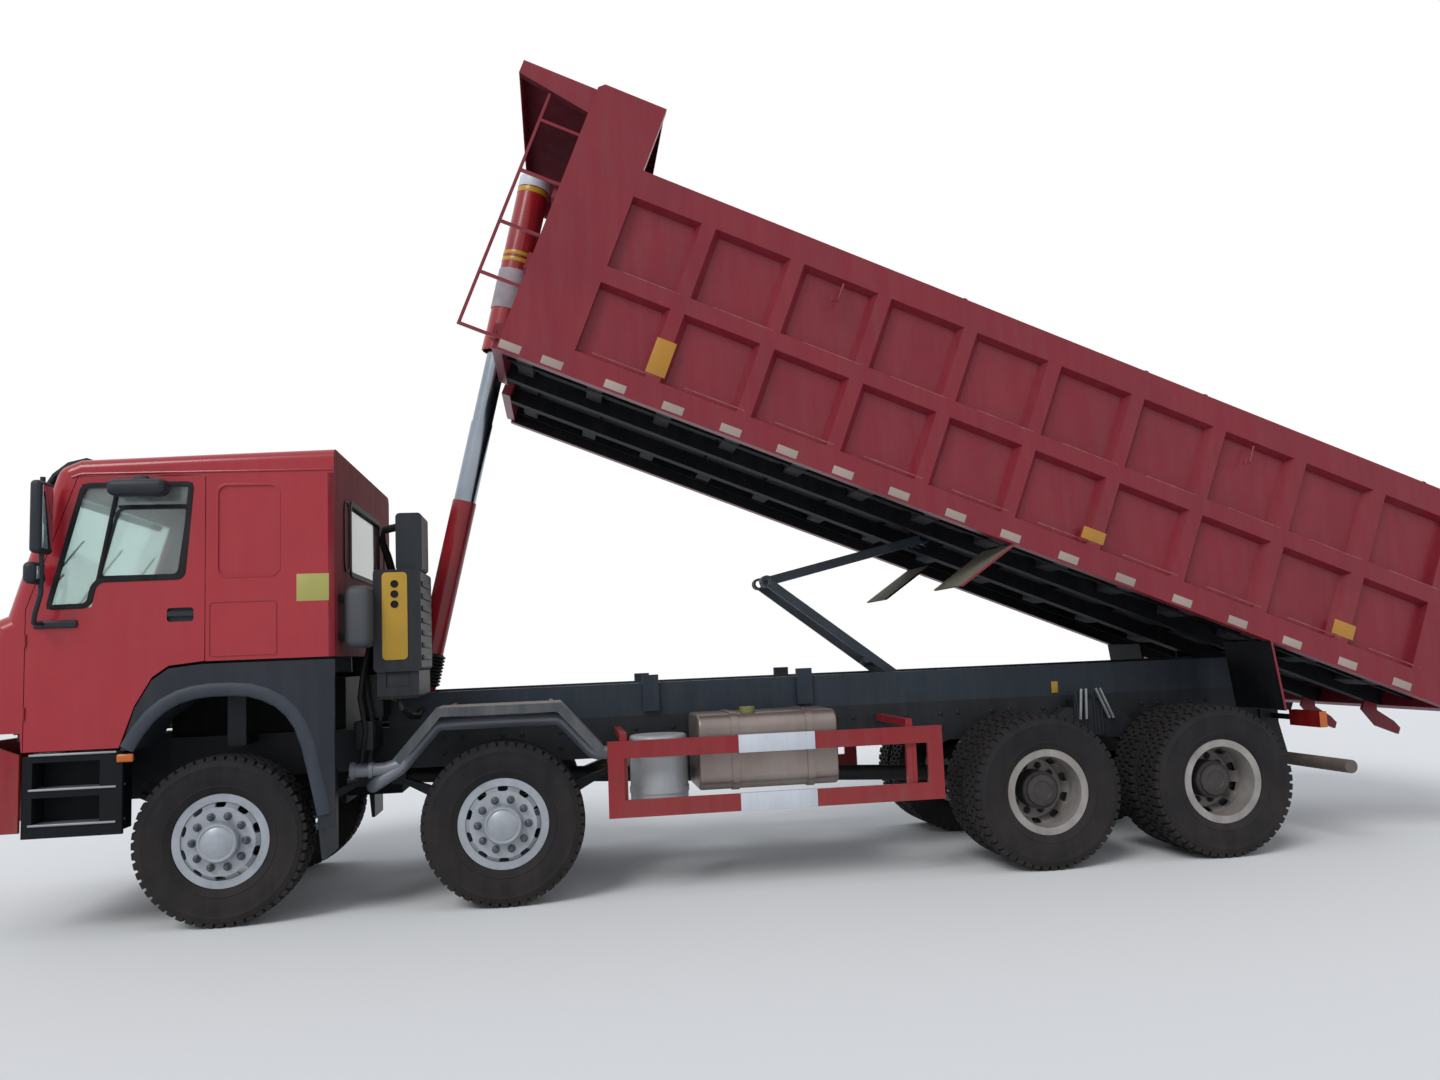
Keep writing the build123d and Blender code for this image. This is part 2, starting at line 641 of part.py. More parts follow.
def oil_tank():
    """The hydraulic tank behind the cab, on a stand from the subframe."""
    body = block(OIL_X0, OIL_X1, -1000, -360, OIL_Z0, OIL_Z1)
    body = fillet(body.edges().filter_by(Axis.Y), 30)
    body += block(OIL_X0 + 20, OIL_X1 - 20, -980, -RAIL_Y + SUB_W, SUB_TOP, SUB_TOP + 60)
    body += block(OIL_X0 + 20, OIL_X0 + 80, -980, -RAIL_Y + SUB_W, SUB_TOP, OIL_Z0 + 30)
    body += block(OIL_X1 - 80, OIL_X1 - 20, -980, -RAIL_Y + SUB_W, SUB_TOP, OIL_Z0 + 30)
    return body


def air_intake():
    """The air cleaner with its tall snorkel behind the cab's other corner, and the intake box."""
    box = block(1080, 1260, -860, -480, OIL_Z1 + 0, 2700)
    return fillet(box.edges().filter_by(Axis.Y), 30)


nodes["oil_tank"] = oil_tank()
nodes["air_intake"] = air_intake()

# Cab

CAB_OUTLINE = [
    (CAB_FRONT, 1300), (CAB_FRONT, 1850), (-1372, 2020), (-1300, 2050), (-1040, 2900), (-960, 3010), (-860, 3052),
    (-100, 3078), (CAB_REAR, ROOF_REAR_Z), (CAB_REAR, CAB_BOTTOM), (-90, CAB_BOTTOM), (-300, 1690), (-400, 1620),
    (-505, 1440), (-595, 1180), (DOOR_FRONT - 12, 1180), (DOOR_FRONT - 22, 1300),
]
CAB_CAVITY = [
    (CAB_FRONT + 40, 1000), (CAB_FRONT + 40, 1845), (-1330, 2000), (-1265, 2030), (-1000, 2890), (-930, 2975),
    (-850, 3012), (-100, 3038), (CAB_REAR - 40, ROOF_REAR_Z - 42), (CAB_REAR - 40, 1000),
]
DOOR_OUTLINE = [
    (DOOR_FRONT, 1180), (DOOR_FRONT, 2080), (-862, 2930), (-80, 2930), (-80, 1712), (-300, 1690), (-400, 1620), (-505, 1440),
    (-595, 1180),
]
DOOR_CUT = [
    (DOOR_FRONT - PANEL_GAP, 1100), (DOOR_FRONT - PANEL_GAP, 2081), (-866, GUTTER_Z), (-75, GUTTER_Z), (-75, 1600), (-300, 1500), (-500, 1100),
]
WINDOW = [(-1040, 2080), (-770, 2085), (-735, 2245), (-240, 2250), (-205, 2310), (-155, 2885), (-835, 2885)]


def cab_corner(edge):
    """Tells whether an edge is one of the upright corners at the front of the cab."""
    middle = edge.center()
    return abs(middle.Y) > CAB_HALF_W - CAB_WALL - 2 and middle.X < -1000 and 1301 < middle.Z < 2900


def cab_cavity(gap):
    """The inside of the cab, short of its side walls by a gap."""
    half = CAB_HALF_W - CAB_WALL - gap
    space = side_plate(CAB_CAVITY, -half, half)
    return fillet(space.edges().filter_by(cab_corner), CAB_CORNER_R - CAB_WALL)


def cab_shell():
    """The whole cab skin as one hollow box, cut into its panels below."""
    outer = side_plate(CAB_OUTLINE, -CAB_HALF_W, CAB_HALF_W)
    outer = fillet(outer.edges().filter_by(cab_corner), CAB_CORNER_R)
    outer = fillet(outer.edges().filter_by(lambda e: abs(e.center().Y) > CAB_HALF_W - 1 and e.center().Z > 3030), 70)
    return outer - cab_cavity(0)


far = 4000
PANEL_X = (0, 380)
PANEL_Z = (2260, 2860)
HATCH_X = (-50, 376)
HATCH_Z = (1730, 2090)
GROOVE = 9


def pressing(x_range, z_range, depth, radius, inset=0):
    """A rounded pocket in the right-hand cab side, less an inset all round."""
    x0, x1 = x_range
    z0, z1 = z_range
    pocket = block(x0 + inset, x1 - inset, CAB_HALF_W - depth, CAB_HALF_W + 20, z0 + inset, z1 - inset)
    return fillet(pocket.edges().filter_by(Axis.Y), radius - inset)


hatch_groove = pressing(HATCH_X, HATCH_Z, 6, 25) - pressing(HATCH_X, HATCH_Z, 12, 25, GROOVE)
shell = cab_shell() - both(pressing(PANEL_X, PANEL_Z, 8, 60)) - both(hatch_groove)
back_zone = block(CAB_REAR - 40, far, -far, far, 0, GUTTER_Z)
roof_zone = block(-far, far, -far, far, GUTTER_Z, far)
front_zone = side_plate([(-far, 0), (DOOR_FRONT - PANEL_GAP, 0), (DOOR_FRONT - PANEL_GAP, 2081), (-866, GUTTER_Z),
                         (-far, GUTTER_Z)], -far, far)
door_zone = side_plate(DOOR_CUT + [(-500, 0), (DOOR_FRONT - PANEL_GAP, 0)], -far, far)
windscreen_cut = block(-1500, -900, -1060, 1060, 2090, 2860)
rear_window = block(600, 800, -640, 640, 2300, 2800)
nodes["cab_back"] = (shell & back_zone) - rear_window


def sun_visor():
    """The bowed visor over the windscreen, on two brackets from the roof."""
    blade = side_plate(
        [(-1150, 2845), (-1068, 2978), (-975, 3052), (-860, 3080), (-820, 3066), (-820, 3048), (-870, 3050), (-968, 3030),
         (-1052, 2965), (-1138, 2840)], -1100, 1100)
    bracket = side_plate([(-1056, 2962), (-972, 3036), (-950, 3000), (-1005, 2945)], 700, 720)
    return blade + both(bracket)


nodes["cab_roof"] = (shell & roof_zone) + sun_visor()

GRILLE_Z = (1330, 1810)
GRILLE_Y = 780
GRILLE_BARS = 6
GRILLE_PROUD = 24


def grille():
    """A framed grille of level bars on the cab's front, halved by a post."""
    z0, z1 = GRILLE_Z
    front = CAB_FRONT - GRILLE_PROUD
    body = block(front, CAB_FRONT + 1, -GRILLE_Y, GRILLE_Y, z0, z1)
    body -= block(front - 1, CAB_FRONT - 5, -GRILLE_Y + 30, GRILLE_Y - 30, z0 + 25, z1 - 25)
    pitch = (z1 - z0 - 50) / GRILLE_BARS
    for i in range(1, GRILLE_BARS):
        z = z0 + 25 + pitch * i
        body += block(front + 3, CAB_FRONT - 4, -GRILLE_Y + 20, GRILLE_Y - 20, z - 13, z + 13)
    return body + block(front, CAB_FRONT - 4, -20, 20, z0, z1)




def hinge_barrels(z0, z1, radius):
    """The barrels of both doors' hinges between two heights, at the upper and the lower hinge."""
    barrels = [rod((DOOR_PIN_X, DOOR_PIN_Y, z + z0), (DOOR_PIN_X, DOOR_PIN_Y, z + z1), radius) for z in DOOR_HINGE_Z]
    return barrels + [mirror(b, about=Plane.XZ) for b in barrels]


DOOR_HINGE_Z = (1420, 1880)
nodes["cab_front"] = (shell & front_zone) + grille() - windscreen_cut - hinge_barrels(-2, 42, DOOR_PIN_R + 1) + hinge_barrels(
    -40, -SEAT, DOOR_PIN_R)
nodes["cab_sides"] = shell - back_zone - block(-far, far, -far, far, GUTTER_Z, far) - front_zone - door_zone

HANDLE_X = (-312, -148)
HANDLE_Z = (1972, 2062)
door_ring = side_plate(DOOR_OUTLINE, CAB_HALF_W - CAB_WALL, CAB_HALF_W) - pressing(HANDLE_X, HANDLE_Z, 24, 20)
door_ring += block(HANDLE_X[0] - 2, HANDLE_X[1] + 2, CAB_HALF_W - 16, CAB_HALF_W - 3, 2008, 2040)
window_hole = side_plate(WINDOW, 0, far)
door = door_ring - window_hole - hinge_barrels(-42, 2 - SEAT, DOOR_PIN_R + 1)
door += [b for b in hinge_barrels(0, 40, DOOR_PIN_R) if b.center().Y > 0]
nodes["door_right"] = door
nodes["door_left"] = mirror(door, about=Plane.XZ)
pane = side_plate(WINDOW, CAB_HALF_W - CAB_WALL / 2 - GLASS_T / 2, CAB_HALF_W - CAB_WALL / 2 + GLASS_T / 2)
nodes["door_glass_right"] = pane
nodes["door_glass_left"] = mirror(pane, about=Plane.XZ)


def door_mirror():
    """A tall mirror and a short wide-angle mirror on a bent arm from the door."""
    y = CAB_HALF_W
    body = pipe([(-1060, y, 1990), (-1060, y + 150, 1990), (-1010, y + 150, 2150), (-1010, y + 150, 2930)], 14, 30)
    body += block(-1045, -975, y + 60, y + 260, 2420, 2880)
    body += block(-1090, -1010, y + 60, y + 240, 2230, 2370)
    return body




def kerb_mirror():
    """The small mirror that looks down over the left door, on a foot from the window frame."""
    y = CAB_HALF_W
    hood = fillet(block(-640, -280, y + 15, y + 165, 2785, 2895).edges().filter_by(Axis.X), 40)
    return hood + block(-500, -430, y, y + 60, 2880, 2925)


nodes["mirrors_right"] = door_mirror()
nodes["mirrors_left"] = mirror(door_mirror() + kerb_mirror(), about=Plane.XZ)

windscreen = side_plate([(-1296, 2000), (-1290, 2000), (-1014, 2920), (-1020, 2920)], -2000, 2000) & windscreen_cut
back_pane = block(CAB_REAR - 23, CAB_REAR - 17, -640, 640, 2300, 2800)
nodes["cab_glass"] = Compound(children=[windscreen, back_pane])

FLOOR_T = 30


def cab_interior():
    """The stepped floor with its engine tunnel, two seats, the dash and the steering wheel."""
    half = CAB_HALF_W
    floor = side_plate(
        [(-1355, 1350), (-1345, 1308), (-1235, 1308), (-1235, 1245), (-640, 1245), (-480, 1570), (-300, 1712), (CAB_REAR - CAB_WALL - SEAT, 1712),
         (CAB_REAR - CAB_WALL - SEAT, 1712 + FLOOR_T), (-315, 1712 + FLOOR_T), (-505, 1590), (-665, 1275), (-1205, 1275),
         (-1205, 1338), (-1330, 1338), (-1355, 1380)],
        -half,
        half,
    )
    tunnel = block(-640, CAB_REAR - CAB_WALL - SEAT, -400, 400, 1600, 1780)
    floor -= block(-700, CAB_REAR, -380, 380, 0, 1750)
    body = floor + (tunnel - block(-600, CAB_REAR, -380, 380, 0, 1750))
    dash = side_plate([(-1355, 1650), (-1355, 1840), (-1320, 1990), (-1180, 1985), (-960, 1900), (-960, 1760), (-1180, 1650)],
                      -half, half)
    body += dash + block(-1355, -1240, -200, 200, 1300, 1700)
    for y in (-620, 620):
        body += block(-420, 60, y - 240, y + 240, 1735, 1980)
        body += side_plate([(0, 1950), (120, 1950), (230, 2560), (130, 2560)], y - 240, y + 240)
    body += rod((-1080, -620, 1850), (-830, -620, 2069), 30)
    ring = Pos(-830, -620, 2069) * Rot(0, 48.8, 0) * Torus(215, 14)
    spoke = Pos(-830, -620, 2069) * Rot(0, 48.8, 0) * Box(26, 430, 14)
    body += ring + spoke
    return body


floor_corner = block(-1400, -1190, CAB_HALF_W - 95, CAB_HALF_W, 1200, 1290)
interior = cab_interior() - both(floor_corner)
arm = side_plate([(TILT_X - 40, TILT_Z - 40), (TILT_X + 40, TILT_Z - 40), (TILT_X + 200, 1250), (TILT_X + 200, 1260),
                  (TILT_X + 98, 1260), (TILT_X + 98, 1245), (TILT_X - 40, TILT_Z + 40)], RAIL_Y + 25, RAIL_Y + 65)
arm -= pin_y(TILT_X, TILT_Z, 0, far, PIN_R + RUNNING_FIT)
nodes["cab_interior"] = (interior & cab_cavity(SEAT)) + both(arm)

# Tipping body


def bed_side(side):
    """One pressed side: skin, three long ribs, the posts between them and the wide end posts."""
    skin = bed_plate([(0, 0), (0, FRONT_H), (FRONT_POST_W - 30, FRONT_H), (FRONT_POST_W - 30, SIDE_H),
                      (BED_L, SIDE_H), (BED_L, 0)], INSIDE_Y, PANEL_Y)
    body = skin
    slope = 30
    for low, high in ((0, 215), (686, 871), (1363, SIDE_H)):
        body += cross_plate(
            [(PANEL_Y, BED_Z + low), (BED_HALF_W, BED_Z + low + (slope if low else 0)),
             (BED_HALF_W, BED_Z + high - (slope if high < SIDE_H else 0)), (PANEL_Y, BED_Z + high)],
            BED_X, BED_X + BED_L)
    for i in range(POST_COUNT):
        x = BED_X + POST_FIRST + POST_PITCH * i
        body += plan_plate(
            [(x - POST_W / 2, PANEL_Y), (x + POST_W / 2, PANEL_Y), (x + POST_W / 2 - 45, BED_HALF_W),
             (x - POST_W / 2 + 45, BED_HALF_W)], BED_Z, BED_Z + SIDE_H)
    body += bed_plate([(-30, 0), (-30, FRONT_H - 40), (10, FRONT_H), (FRONT_POST_W - 30, FRONT_H),
                       (FRONT_POST_W - 30, 0)], INSIDE_Y, BED_HALF_W)
    body += bed_block(BED_L - REAR_POST_W, BED_L, INSIDE_Y, BED_HALF_W, 0, SIDE_H)
    body += bed_block(BED_L - 130, BED_L, INSIDE_Y + 20, BED_HALF_W - 20, SIDE_H, GATE_HINGE_V + 40)
    body -= pin_y(BED_X + GATE_HINGE_U, BED_Z + GATE_HINGE_V, 0, far, PIN_R + RUNNING_FIT)
    return body if side > 0 else mirror(body, about=Plane.XZ)


GATE_HINGE_U = BED_L - 50
GATE_HINGE_V = SIDE_H + 80
nodes["bed_sides"] = raised(Compound(children=[bed_side(1), bed_side(-1)]))


def bed_front():
    """The front wall with its ribs, the canopy, the hoist cheeks and the ladder."""
    wall = bed_block(0, SKIN, -INSIDE_Y, INSIDE_Y, FLOOR_V + SKIN, FRONT_H - 50)
    for y in (-800, -400, 400, 800):
        wall += bed_block(-RIB_DEPTH, 0, y - 60, y + 60, FLOOR_V, FRONT_H - 50)
    wall += bed_block(-RIB_DEPTH, 0, -INSIDE_Y, INSIDE_Y, SUB_TOP + SILL_GAP - BED_Z, FLOOR_V + 20)
    for v in (640, 1200):
        wall += bed_block(-RIB_DEPTH, 0, -INSIDE_Y, INSIDE_Y, v, v + 120)
    wall -= bed_block(-RIB_DEPTH, 0, -HOIST_POCKET_Y, HOIST_POCKET_Y, 0, FRONT_H - 62)
    canopy = bed_plate([(-CANOPY_REACH, FRONT_H - 50), (FRONT_POST_W - 30, FRONT_H - 50), (FRONT_POST_W - 30, FRONT_H - 62),
                        (-CANOPY_REACH, FRONT_H - 62)], -INSIDE_Y, INSIDE_Y)
    lip = bed_plate([(-CANOPY_REACH, FRONT_H - 50), (-30, FRONT_H - 50), (-30, FRONT_H - 240), (-CANOPY_REACH, FRONT_H - 150)],
                    INSIDE_Y, BED_HALF_W - 20)
    canopy += both(lip)
    canopy += bed_block(-CANOPY_REACH, -CANOPY_REACH + 12, -INSIDE_Y, INSIDE_Y, FRONT_H - 150, FRONT_H - 50)
    cheek = bed_plate([(0, HOIST_PIN_V - 180), (0, HOIST_PIN_V + 200), (HOIST_PIN_U - 60, HOIST_PIN_V + 60),
                       (HOIST_PIN_U - 60, HOIST_PIN_V - 60)], CHEEK_Y, CHEEK_Y + 25)
    cheek -= pin_y(BED_X + HOIST_PIN_U, BED_Z + HOIST_PIN_V, 0, far, 24)
    ladder = bed_block(-345, -325, -1205, -1185, 100, FRONT_H - 60)
    ladder += bed_block(-345, -30, -1205, -1185, 80, 102)
    for v in (490, 886, 1290, 1690):
        ladder += bed_block(-345, -30, -1205, -1185, v - 11, v + 11)
    return wall + canopy + both(cheek) + ladder


CHEEK_Y = COVER_R + 25
nodes["bed_front"] = raised(bed_front())

CROSS_PITCH = 543
CROSS_W = 140


def bed_floor():
    """The floor plate on its sills and cross-members, with hinge ears and gate hooks."""
    body = bed_block(0, BED_L, -INSIDE_Y, INSIDE_Y, FLOOR_V, FLOOR_V + SKIN)
    sill_v = SUB_TOP + SILL_GAP - BED_Z
    for y in (RAIL_Y - SUB_W, -RAIL_Y):
        body += bed_block(0, BED_L, y, y + SUB_W, sill_v, sill_v + SILL_H)
    count = int((BED_L - 200) // CROSS_PITCH)
    for i in range(count + 1):
        u = 60 + CROSS_PITCH * i
        body += bed_block(u, u + CROSS_W, -INSIDE_Y, INSIDE_Y, sill_v + SILL_H, FLOOR_V)
    for y in (-1100, -760, 720, 1060):
        body += bed_block(0, BED_L, y, y + 40, sill_v + 60, FLOOR_V)
    ear = side_plate([(HINGE_X - 160, SUB_TOP + SILL_GAP + 60), (HINGE_X + 160, SUB_TOP + SILL_GAP + 60),
                      (HINGE_X + 50, HINGE_Z - 50), (HINGE_X - 50, HINGE_Z - 50)], RAIL_Y + 10, RAIL_Y + 40)
    ear += block(HINGE_X - 160, HINGE_X + 160, RAIL_Y - 20, RAIL_Y + 40, SUB_TOP + SILL_GAP + 60, SUB_TOP + SILL_GAP + SILL_H)
    ear -= pin_y(HINGE_X, HINGE_Z, 0, far, PIN_R + 8 + RUNNING_FIT)
    hook = bed_plate([(BED_L - 120, sill_v + 10), (BED_L - 120, -60), (BED_L + 40, -150), (BED_L + 250, -150), (BED_L + 250, -95),
                      (BED_L + 180, -60), (BED_L + 10, -25), (BED_L - 10, sill_v + 10)], GATE_HOOK_Y, GATE_HOOK_Y + 30)
    body += both(hook)
    knee_x, knee_z = STAY_EYE
    bracket = block(knee_x - 60, knee_x + 60, 60, 90, knee_z - 40, BED_Z + FLOOR_V)
    pin = pin_y(knee_x, knee_z, -180, 180, PIN_R + 8)
    return body + both(ear) + both(bracket) + pin


def lowered_point(x, z):
    """Where a point of the raised body lies when the body is down."""
    c, s = cos(radians(TIP_ANGLE)), sin(radians(TIP_ANGLE))
    dx, dz = x - HINGE_X, z - HINGE_Z
    return HINGE_X + dx * c - dz * s, HINGE_Z + dx * s + dz * c


STAY_EYE = lowered_point(*STAY_BED)
nodes["bed_floor"] = raised(bed_floor())


def splash_plates():
    """Four sheets that hang from the body before and behind the drive wheels."""
    sheets = []
    for top, bottom in ((3900, (3620, -420)), (6000, (6250, -450))):
        sheets.append(bed_plate([(top, 0), (top + 20, 0), (bottom[0] + 20, bottom[1]), bottom], 650, BED_HALF_W))
    return sheets + [mirror(s, about=Plane.XZ) for s in sheets]


nodes["splash_plates"] = raised(Compound(children=splash_plates()))


def tailgate():
    """The top-hung gate: plate, frame ribs, and two arms up to the hinge."""
    u0 = BED_L + GATE_GAP
    half = BED_HALF_W - 10
    body = bed_block(u0, u0 + SKIN, -half, half, 20, SIDE_H - 10)
    for low, high in ((20, 180), (480, 560), (860, 940), (1240, 1320), (SIDE_H - 130, SIDE_H - 10)):
        body += bed_block(u0 + SKIN, u0 + GATE_T, -half, half, low, high)
    for y in (-half, -660, -60, 540, half - 120):
        body += bed_block(u0 + SKIN, u0 + GATE_T, y, y + 120, 20, SIDE_H - 10)
    arm_y = INSIDE_Y - 20
    arm = bed_plate([(GATE_HINGE_U - 40, GATE_HINGE_V + 40), (u0 + GATE_T, GATE_HINGE_V + 40), (u0 + GATE_T, SIDE_H - 120),
                     (u0, SIDE_H - 120), (u0, GATE_HINGE_V - 60), (GATE_HINGE_U - 40, GATE_HINGE_V - 60)],
                    arm_y - 30, arm_y)
    arm += pin_y(BED_X + GATE_HINGE_U, BED_Z + GATE_HINGE_V, arm_y - 10, INSIDE_Y + 90, PIN_R)
    return body + both(arm)


nodes["tailgate"] = raised(tailgate())

# Hoist: base tube, three stages, and the cover with its rod, all about one axis

pin_x, pin_z = raised_point(BED_X + HOIST_PIN_U, BED_Z + HOIST_PIN_V)
HOIST_L = hypot(pin_x - HOIST_X, pin_z - HOIST_Z)
HOIST_LEAN = degrees(atan2(pin_x - HOIST_X, pin_z - HOIST_Z))
EACH_SLIDE = STAGE_TOTAL / 4


def on_hoist(part):
    """Places a piece drawn along +Z from the hoist's foot pin."""
    return Pos(HOIST_X, 0, HOIST_Z) * Rot(0, HOIST_LEAN, 0) * part


def ring_tube(outer, inner, z0, z1):
    """A round tube along Z."""
    return extrude(Plane.XY.offset(z0) * (Circle(outer) - Circle(inner)), amount=z1 - z0)


base = ring_tube(HOIST_BASE_R, HOIST_BASE_R - HOIST_BASE_WALL, 60, HOIST_BASE_L)
base += extrude(Plane.XY.offset(45) * Circle(HOIST_BASE_R), amount=20)
base += block(-45, 45, -HOIST_BASE_R + 5, HOIST_BASE_R - 5, 0, 60) + pin_y(0, 0, -HOIST_BASE_R + 5, HOIST_BASE_R - 5, 60)
base -= pin_y(0, 0, -far, far, PIN_R + 8 + RUNNING_FIT)
nodes["hoist_base"] = on_hoist(base)
for i in range(3):
    top = HOIST_BASE_L + HOIST_STEP * (i + 1) + EACH_SLIDE * (i + 1)
    tube = ring_tube(STAGE_R[i], STAGE_R[i] - STAGE_WALL, top - STAGE_L, top)
    nodes[f"hoist_stage_{i + 1}"] = on_hoist(tube)
cover_end = HOIST_L + COVER_TOP
cover = ring_tube(COVER_R, COVER_R - 6, HOIST_L - COVER_BELOW, cover_end)
cover += extrude(Plane.XY.offset(cover_end - 20) * Circle(COVER_R), amount=20)
cover += extrude(Plane.XY.offset(cover_end - ROD_L) * Circle(STAGE_R[3]), amount=ROD_L)
cover += both(pin_y(0, HOIST_L, COVER_R - 4, COVER_R + 18, 40))
nodes["hoist_cover"] = on_hoist(cover)

# Stabiliser arms


def stay_arm(start, end, y0, y1, width):
    """A pair of flat arms between two pins, joined near the middle."""
    (x0, z0), (x1, z1) = start, end
    length = hypot(x1 - x0, z1 - z0)
    angle = degrees(atan2(z1 - z0, x1 - x0))
    arm = block(0, length, y0, y1, -width / 2, width / 2)
    for x in (0, length):
        arm += pin_y(x, 0, y0, y1, width / 2 + 12)
    arm = both(arm) + block(length * 0.25, length * 0.25 + 60, -y0, y0, -width / 2, width / 2)
    for x in (0, length):
        arm -= pin_y(x, 0, -far, far, PIN_R + 8 + RUNNING_FIT)
    return Pos(x0, 0, z0) * Rot(0, -angle, 0) * arm


nodes["stay_lower"] = stay_arm((STAY_X, STAY_Z), STAY_KNEE, 190, 220, 70)
nodes["stay_upper"] = stay_arm(STAY_BED, STAY_KNEE, 120, 150, 70)

# The origin lies on the road under the middle of the whole lorry
whole = Compound(children=[Compound(children=n.solids()) for n in nodes.values()]).bounding_box()
ORIGIN_X = (whole.min.X + whole.max.X) / 2
os.makedirs("parts", exist_ok=True)
for name, part in nodes.items():
    solids = (Pos(-ORIGIN_X, 0, 0) * part).solids()
    export_step(solids[0] if len(solids) == 1 else Compound(children=solids), f"parts/{name}.step")
print("origin", round(ORIGIN_X, 3), "box", whole.min, whole.max, "hoist", HOIST_L, HOIST_LEAN, "nodes", len(nodes))
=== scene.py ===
import bpy
from math import atan2, cos, pi, radians, sin
from mathutils import Matrix, Vector


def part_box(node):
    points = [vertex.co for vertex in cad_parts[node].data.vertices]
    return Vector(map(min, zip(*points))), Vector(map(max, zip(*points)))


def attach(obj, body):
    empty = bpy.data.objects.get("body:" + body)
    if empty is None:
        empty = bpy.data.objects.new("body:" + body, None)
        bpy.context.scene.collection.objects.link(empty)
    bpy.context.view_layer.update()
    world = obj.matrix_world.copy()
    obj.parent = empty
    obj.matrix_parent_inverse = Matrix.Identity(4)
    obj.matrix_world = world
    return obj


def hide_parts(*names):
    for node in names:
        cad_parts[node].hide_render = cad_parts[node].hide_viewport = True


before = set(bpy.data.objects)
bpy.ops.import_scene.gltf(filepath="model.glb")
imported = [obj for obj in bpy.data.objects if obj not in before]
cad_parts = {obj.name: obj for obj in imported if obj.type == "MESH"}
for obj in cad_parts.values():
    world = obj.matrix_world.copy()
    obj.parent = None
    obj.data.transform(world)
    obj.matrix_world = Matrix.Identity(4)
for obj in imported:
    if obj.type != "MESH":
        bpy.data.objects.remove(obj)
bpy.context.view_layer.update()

# A four-axle tipper lorry with its body raised. Metres. The lorry faces -X and its left side is -Y.
# Places are measured from the first axle, as on the drawing, and moved to the model's own origin here.
low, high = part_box("tyre_1_left")
AXLE_1 = (low.x + high.x) / 2
WHEEL_Z = (low.z + high.z) / 2
AXLES = (0.0, 1.8, 5.625, 6.975)
SIDES = (("left", -1), ("right", 1))
TYRE_R = 0.547
TYRE_HALF_W = 0.1565
TREAD_DEPTH = 0.016
# Out from the lorry's middle: a steered wheel, the two tyres of a driven wheel, and its hub
STEERED_Y = 1.011
DUAL_YS = (0.74, 1.09)
DRIVEN_HUB_Y = 0.915
HUB_R = 0.139
TIP = radians(21.67)
BED_CORNER = (1.8452, 3.7674)
BED_HALF_W = 1.25
UNDER_WAY = Vector((-sin(TIP), 0, -cos(TIP)))
HOIST_FOOT = (1.125, 1.32)
HOIST_PIN = (1.7967, 4.2006)
HOIST_LEAN = atan2(HOIST_PIN[0] - HOIST_FOOT[0], HOIST_PIN[1] - HOIST_FOOT[1])
COVER_R = 0.125
CAB_HALF_W = 1.22
CAB_REAR = 0.735


def at(x, y, z):
    """A place measured from the first axle."""
    return Vector((x + AXLE_1, y, z))


def on_bed(u, y, v):
    """A place on the raised body: u runs rearwards along its floor and v up its front wall."""
    return at(BED_CORNER[0] + u * cos(TIP) + v * sin(TIP), y, BED_CORNER[1] - u * sin(TIP) + v * cos(TIP))


def outward(path, width):
    """The path of (x, z) points moved an even width to its left-hand side."""
    moved = []
    for i, (x, z) in enumerate(path):
        x0, z0 = path[max(i - 1, 0)]
        x1, z1 = path[min(i + 1, len(path) - 1)]
        length = ((x1 - x0) ** 2 + (z1 - z0) ** 2) ** 0.5
        moved.append((x - (z1 - z0) / length * width, z + (x1 - x0) / length * width))
    return moved


# Modelling


def fresh():
    """Leaves nothing selected, so that the next operator acts on the new piece alone."""
    if bpy.context.mode != "OBJECT":
        bpy.ops.object.mode_set(mode="OBJECT")
    bpy.ops.object.select_all(action="DESELECT")


def only(piece):
    """Makes this the one selected, active piece."""
    fresh()
    piece.select_set(True)
    bpy.context.view_layer.objects.active = piece


def pick(piece, test):
    """Opens a piece in edit mode with those faces selected whose centre and normal pass the test."""
    only(piece)
    bpy.ops.object.mode_set(mode="EDIT")
    bpy.ops.mesh.select_mode(type="FACE")
    bpy.ops.mesh.select_all(action="DESELECT")
    bpy.ops.object.mode_set(mode="OBJECT")
    for face in piece.data.polygons:
        face.select = test(face.center, face.normal)
    bpy.ops.object.mode_set(mode="EDIT")


def edit_all():
    """Opens the active piece in edit mode with all of it selected."""
    bpy.ops.object.mode_set(mode="EDIT")
    bpy.ops.mesh.select_all(action="SELECT")


def done():
    """Back to object mode."""
    bpy.ops.object.mode_set(mode="OBJECT")


def face_out():
    """Turns all faces of the open piece outwards and goes back to object mode."""
    bpy.ops.mesh.select_all(action="SELECT")
    bpy.ops.mesh.normals_make_consistent(inside=False)
    done()


def slab(name, centre, size, turn=0.0, edge=0.003, segments=2):
    """A block with softened edges, at its place and turned about the lorry's cross axis."""
    fresh()
    bpy.ops.mesh.primitive_cube_add(size=1, location=centre, scale=size)
    piece = bpy.context.object
    piece.name = name
    bpy.ops.object.transform_apply(location=False, rotation=False, scale=True)
    piece.rotation_euler = (0, turn, 0)
    edit_all()
    bpy.ops.mesh.bevel(offset=edge, segments=segments, affect="EDGES")
    done()
    return piece


def bed_slab(name, u0, u1, y0, y1, v0, v1, edge=0.002):
    """A softened block drawn square to the raised body."""
    centre = on_bed((u0 + u1) / 2, (y0 + y1) / 2, (v0 + v1) / 2)
    return slab(name, centre, (u1 - u0, abs(y1 - y0), v1 - v0), turn=TIP, edge=edge)


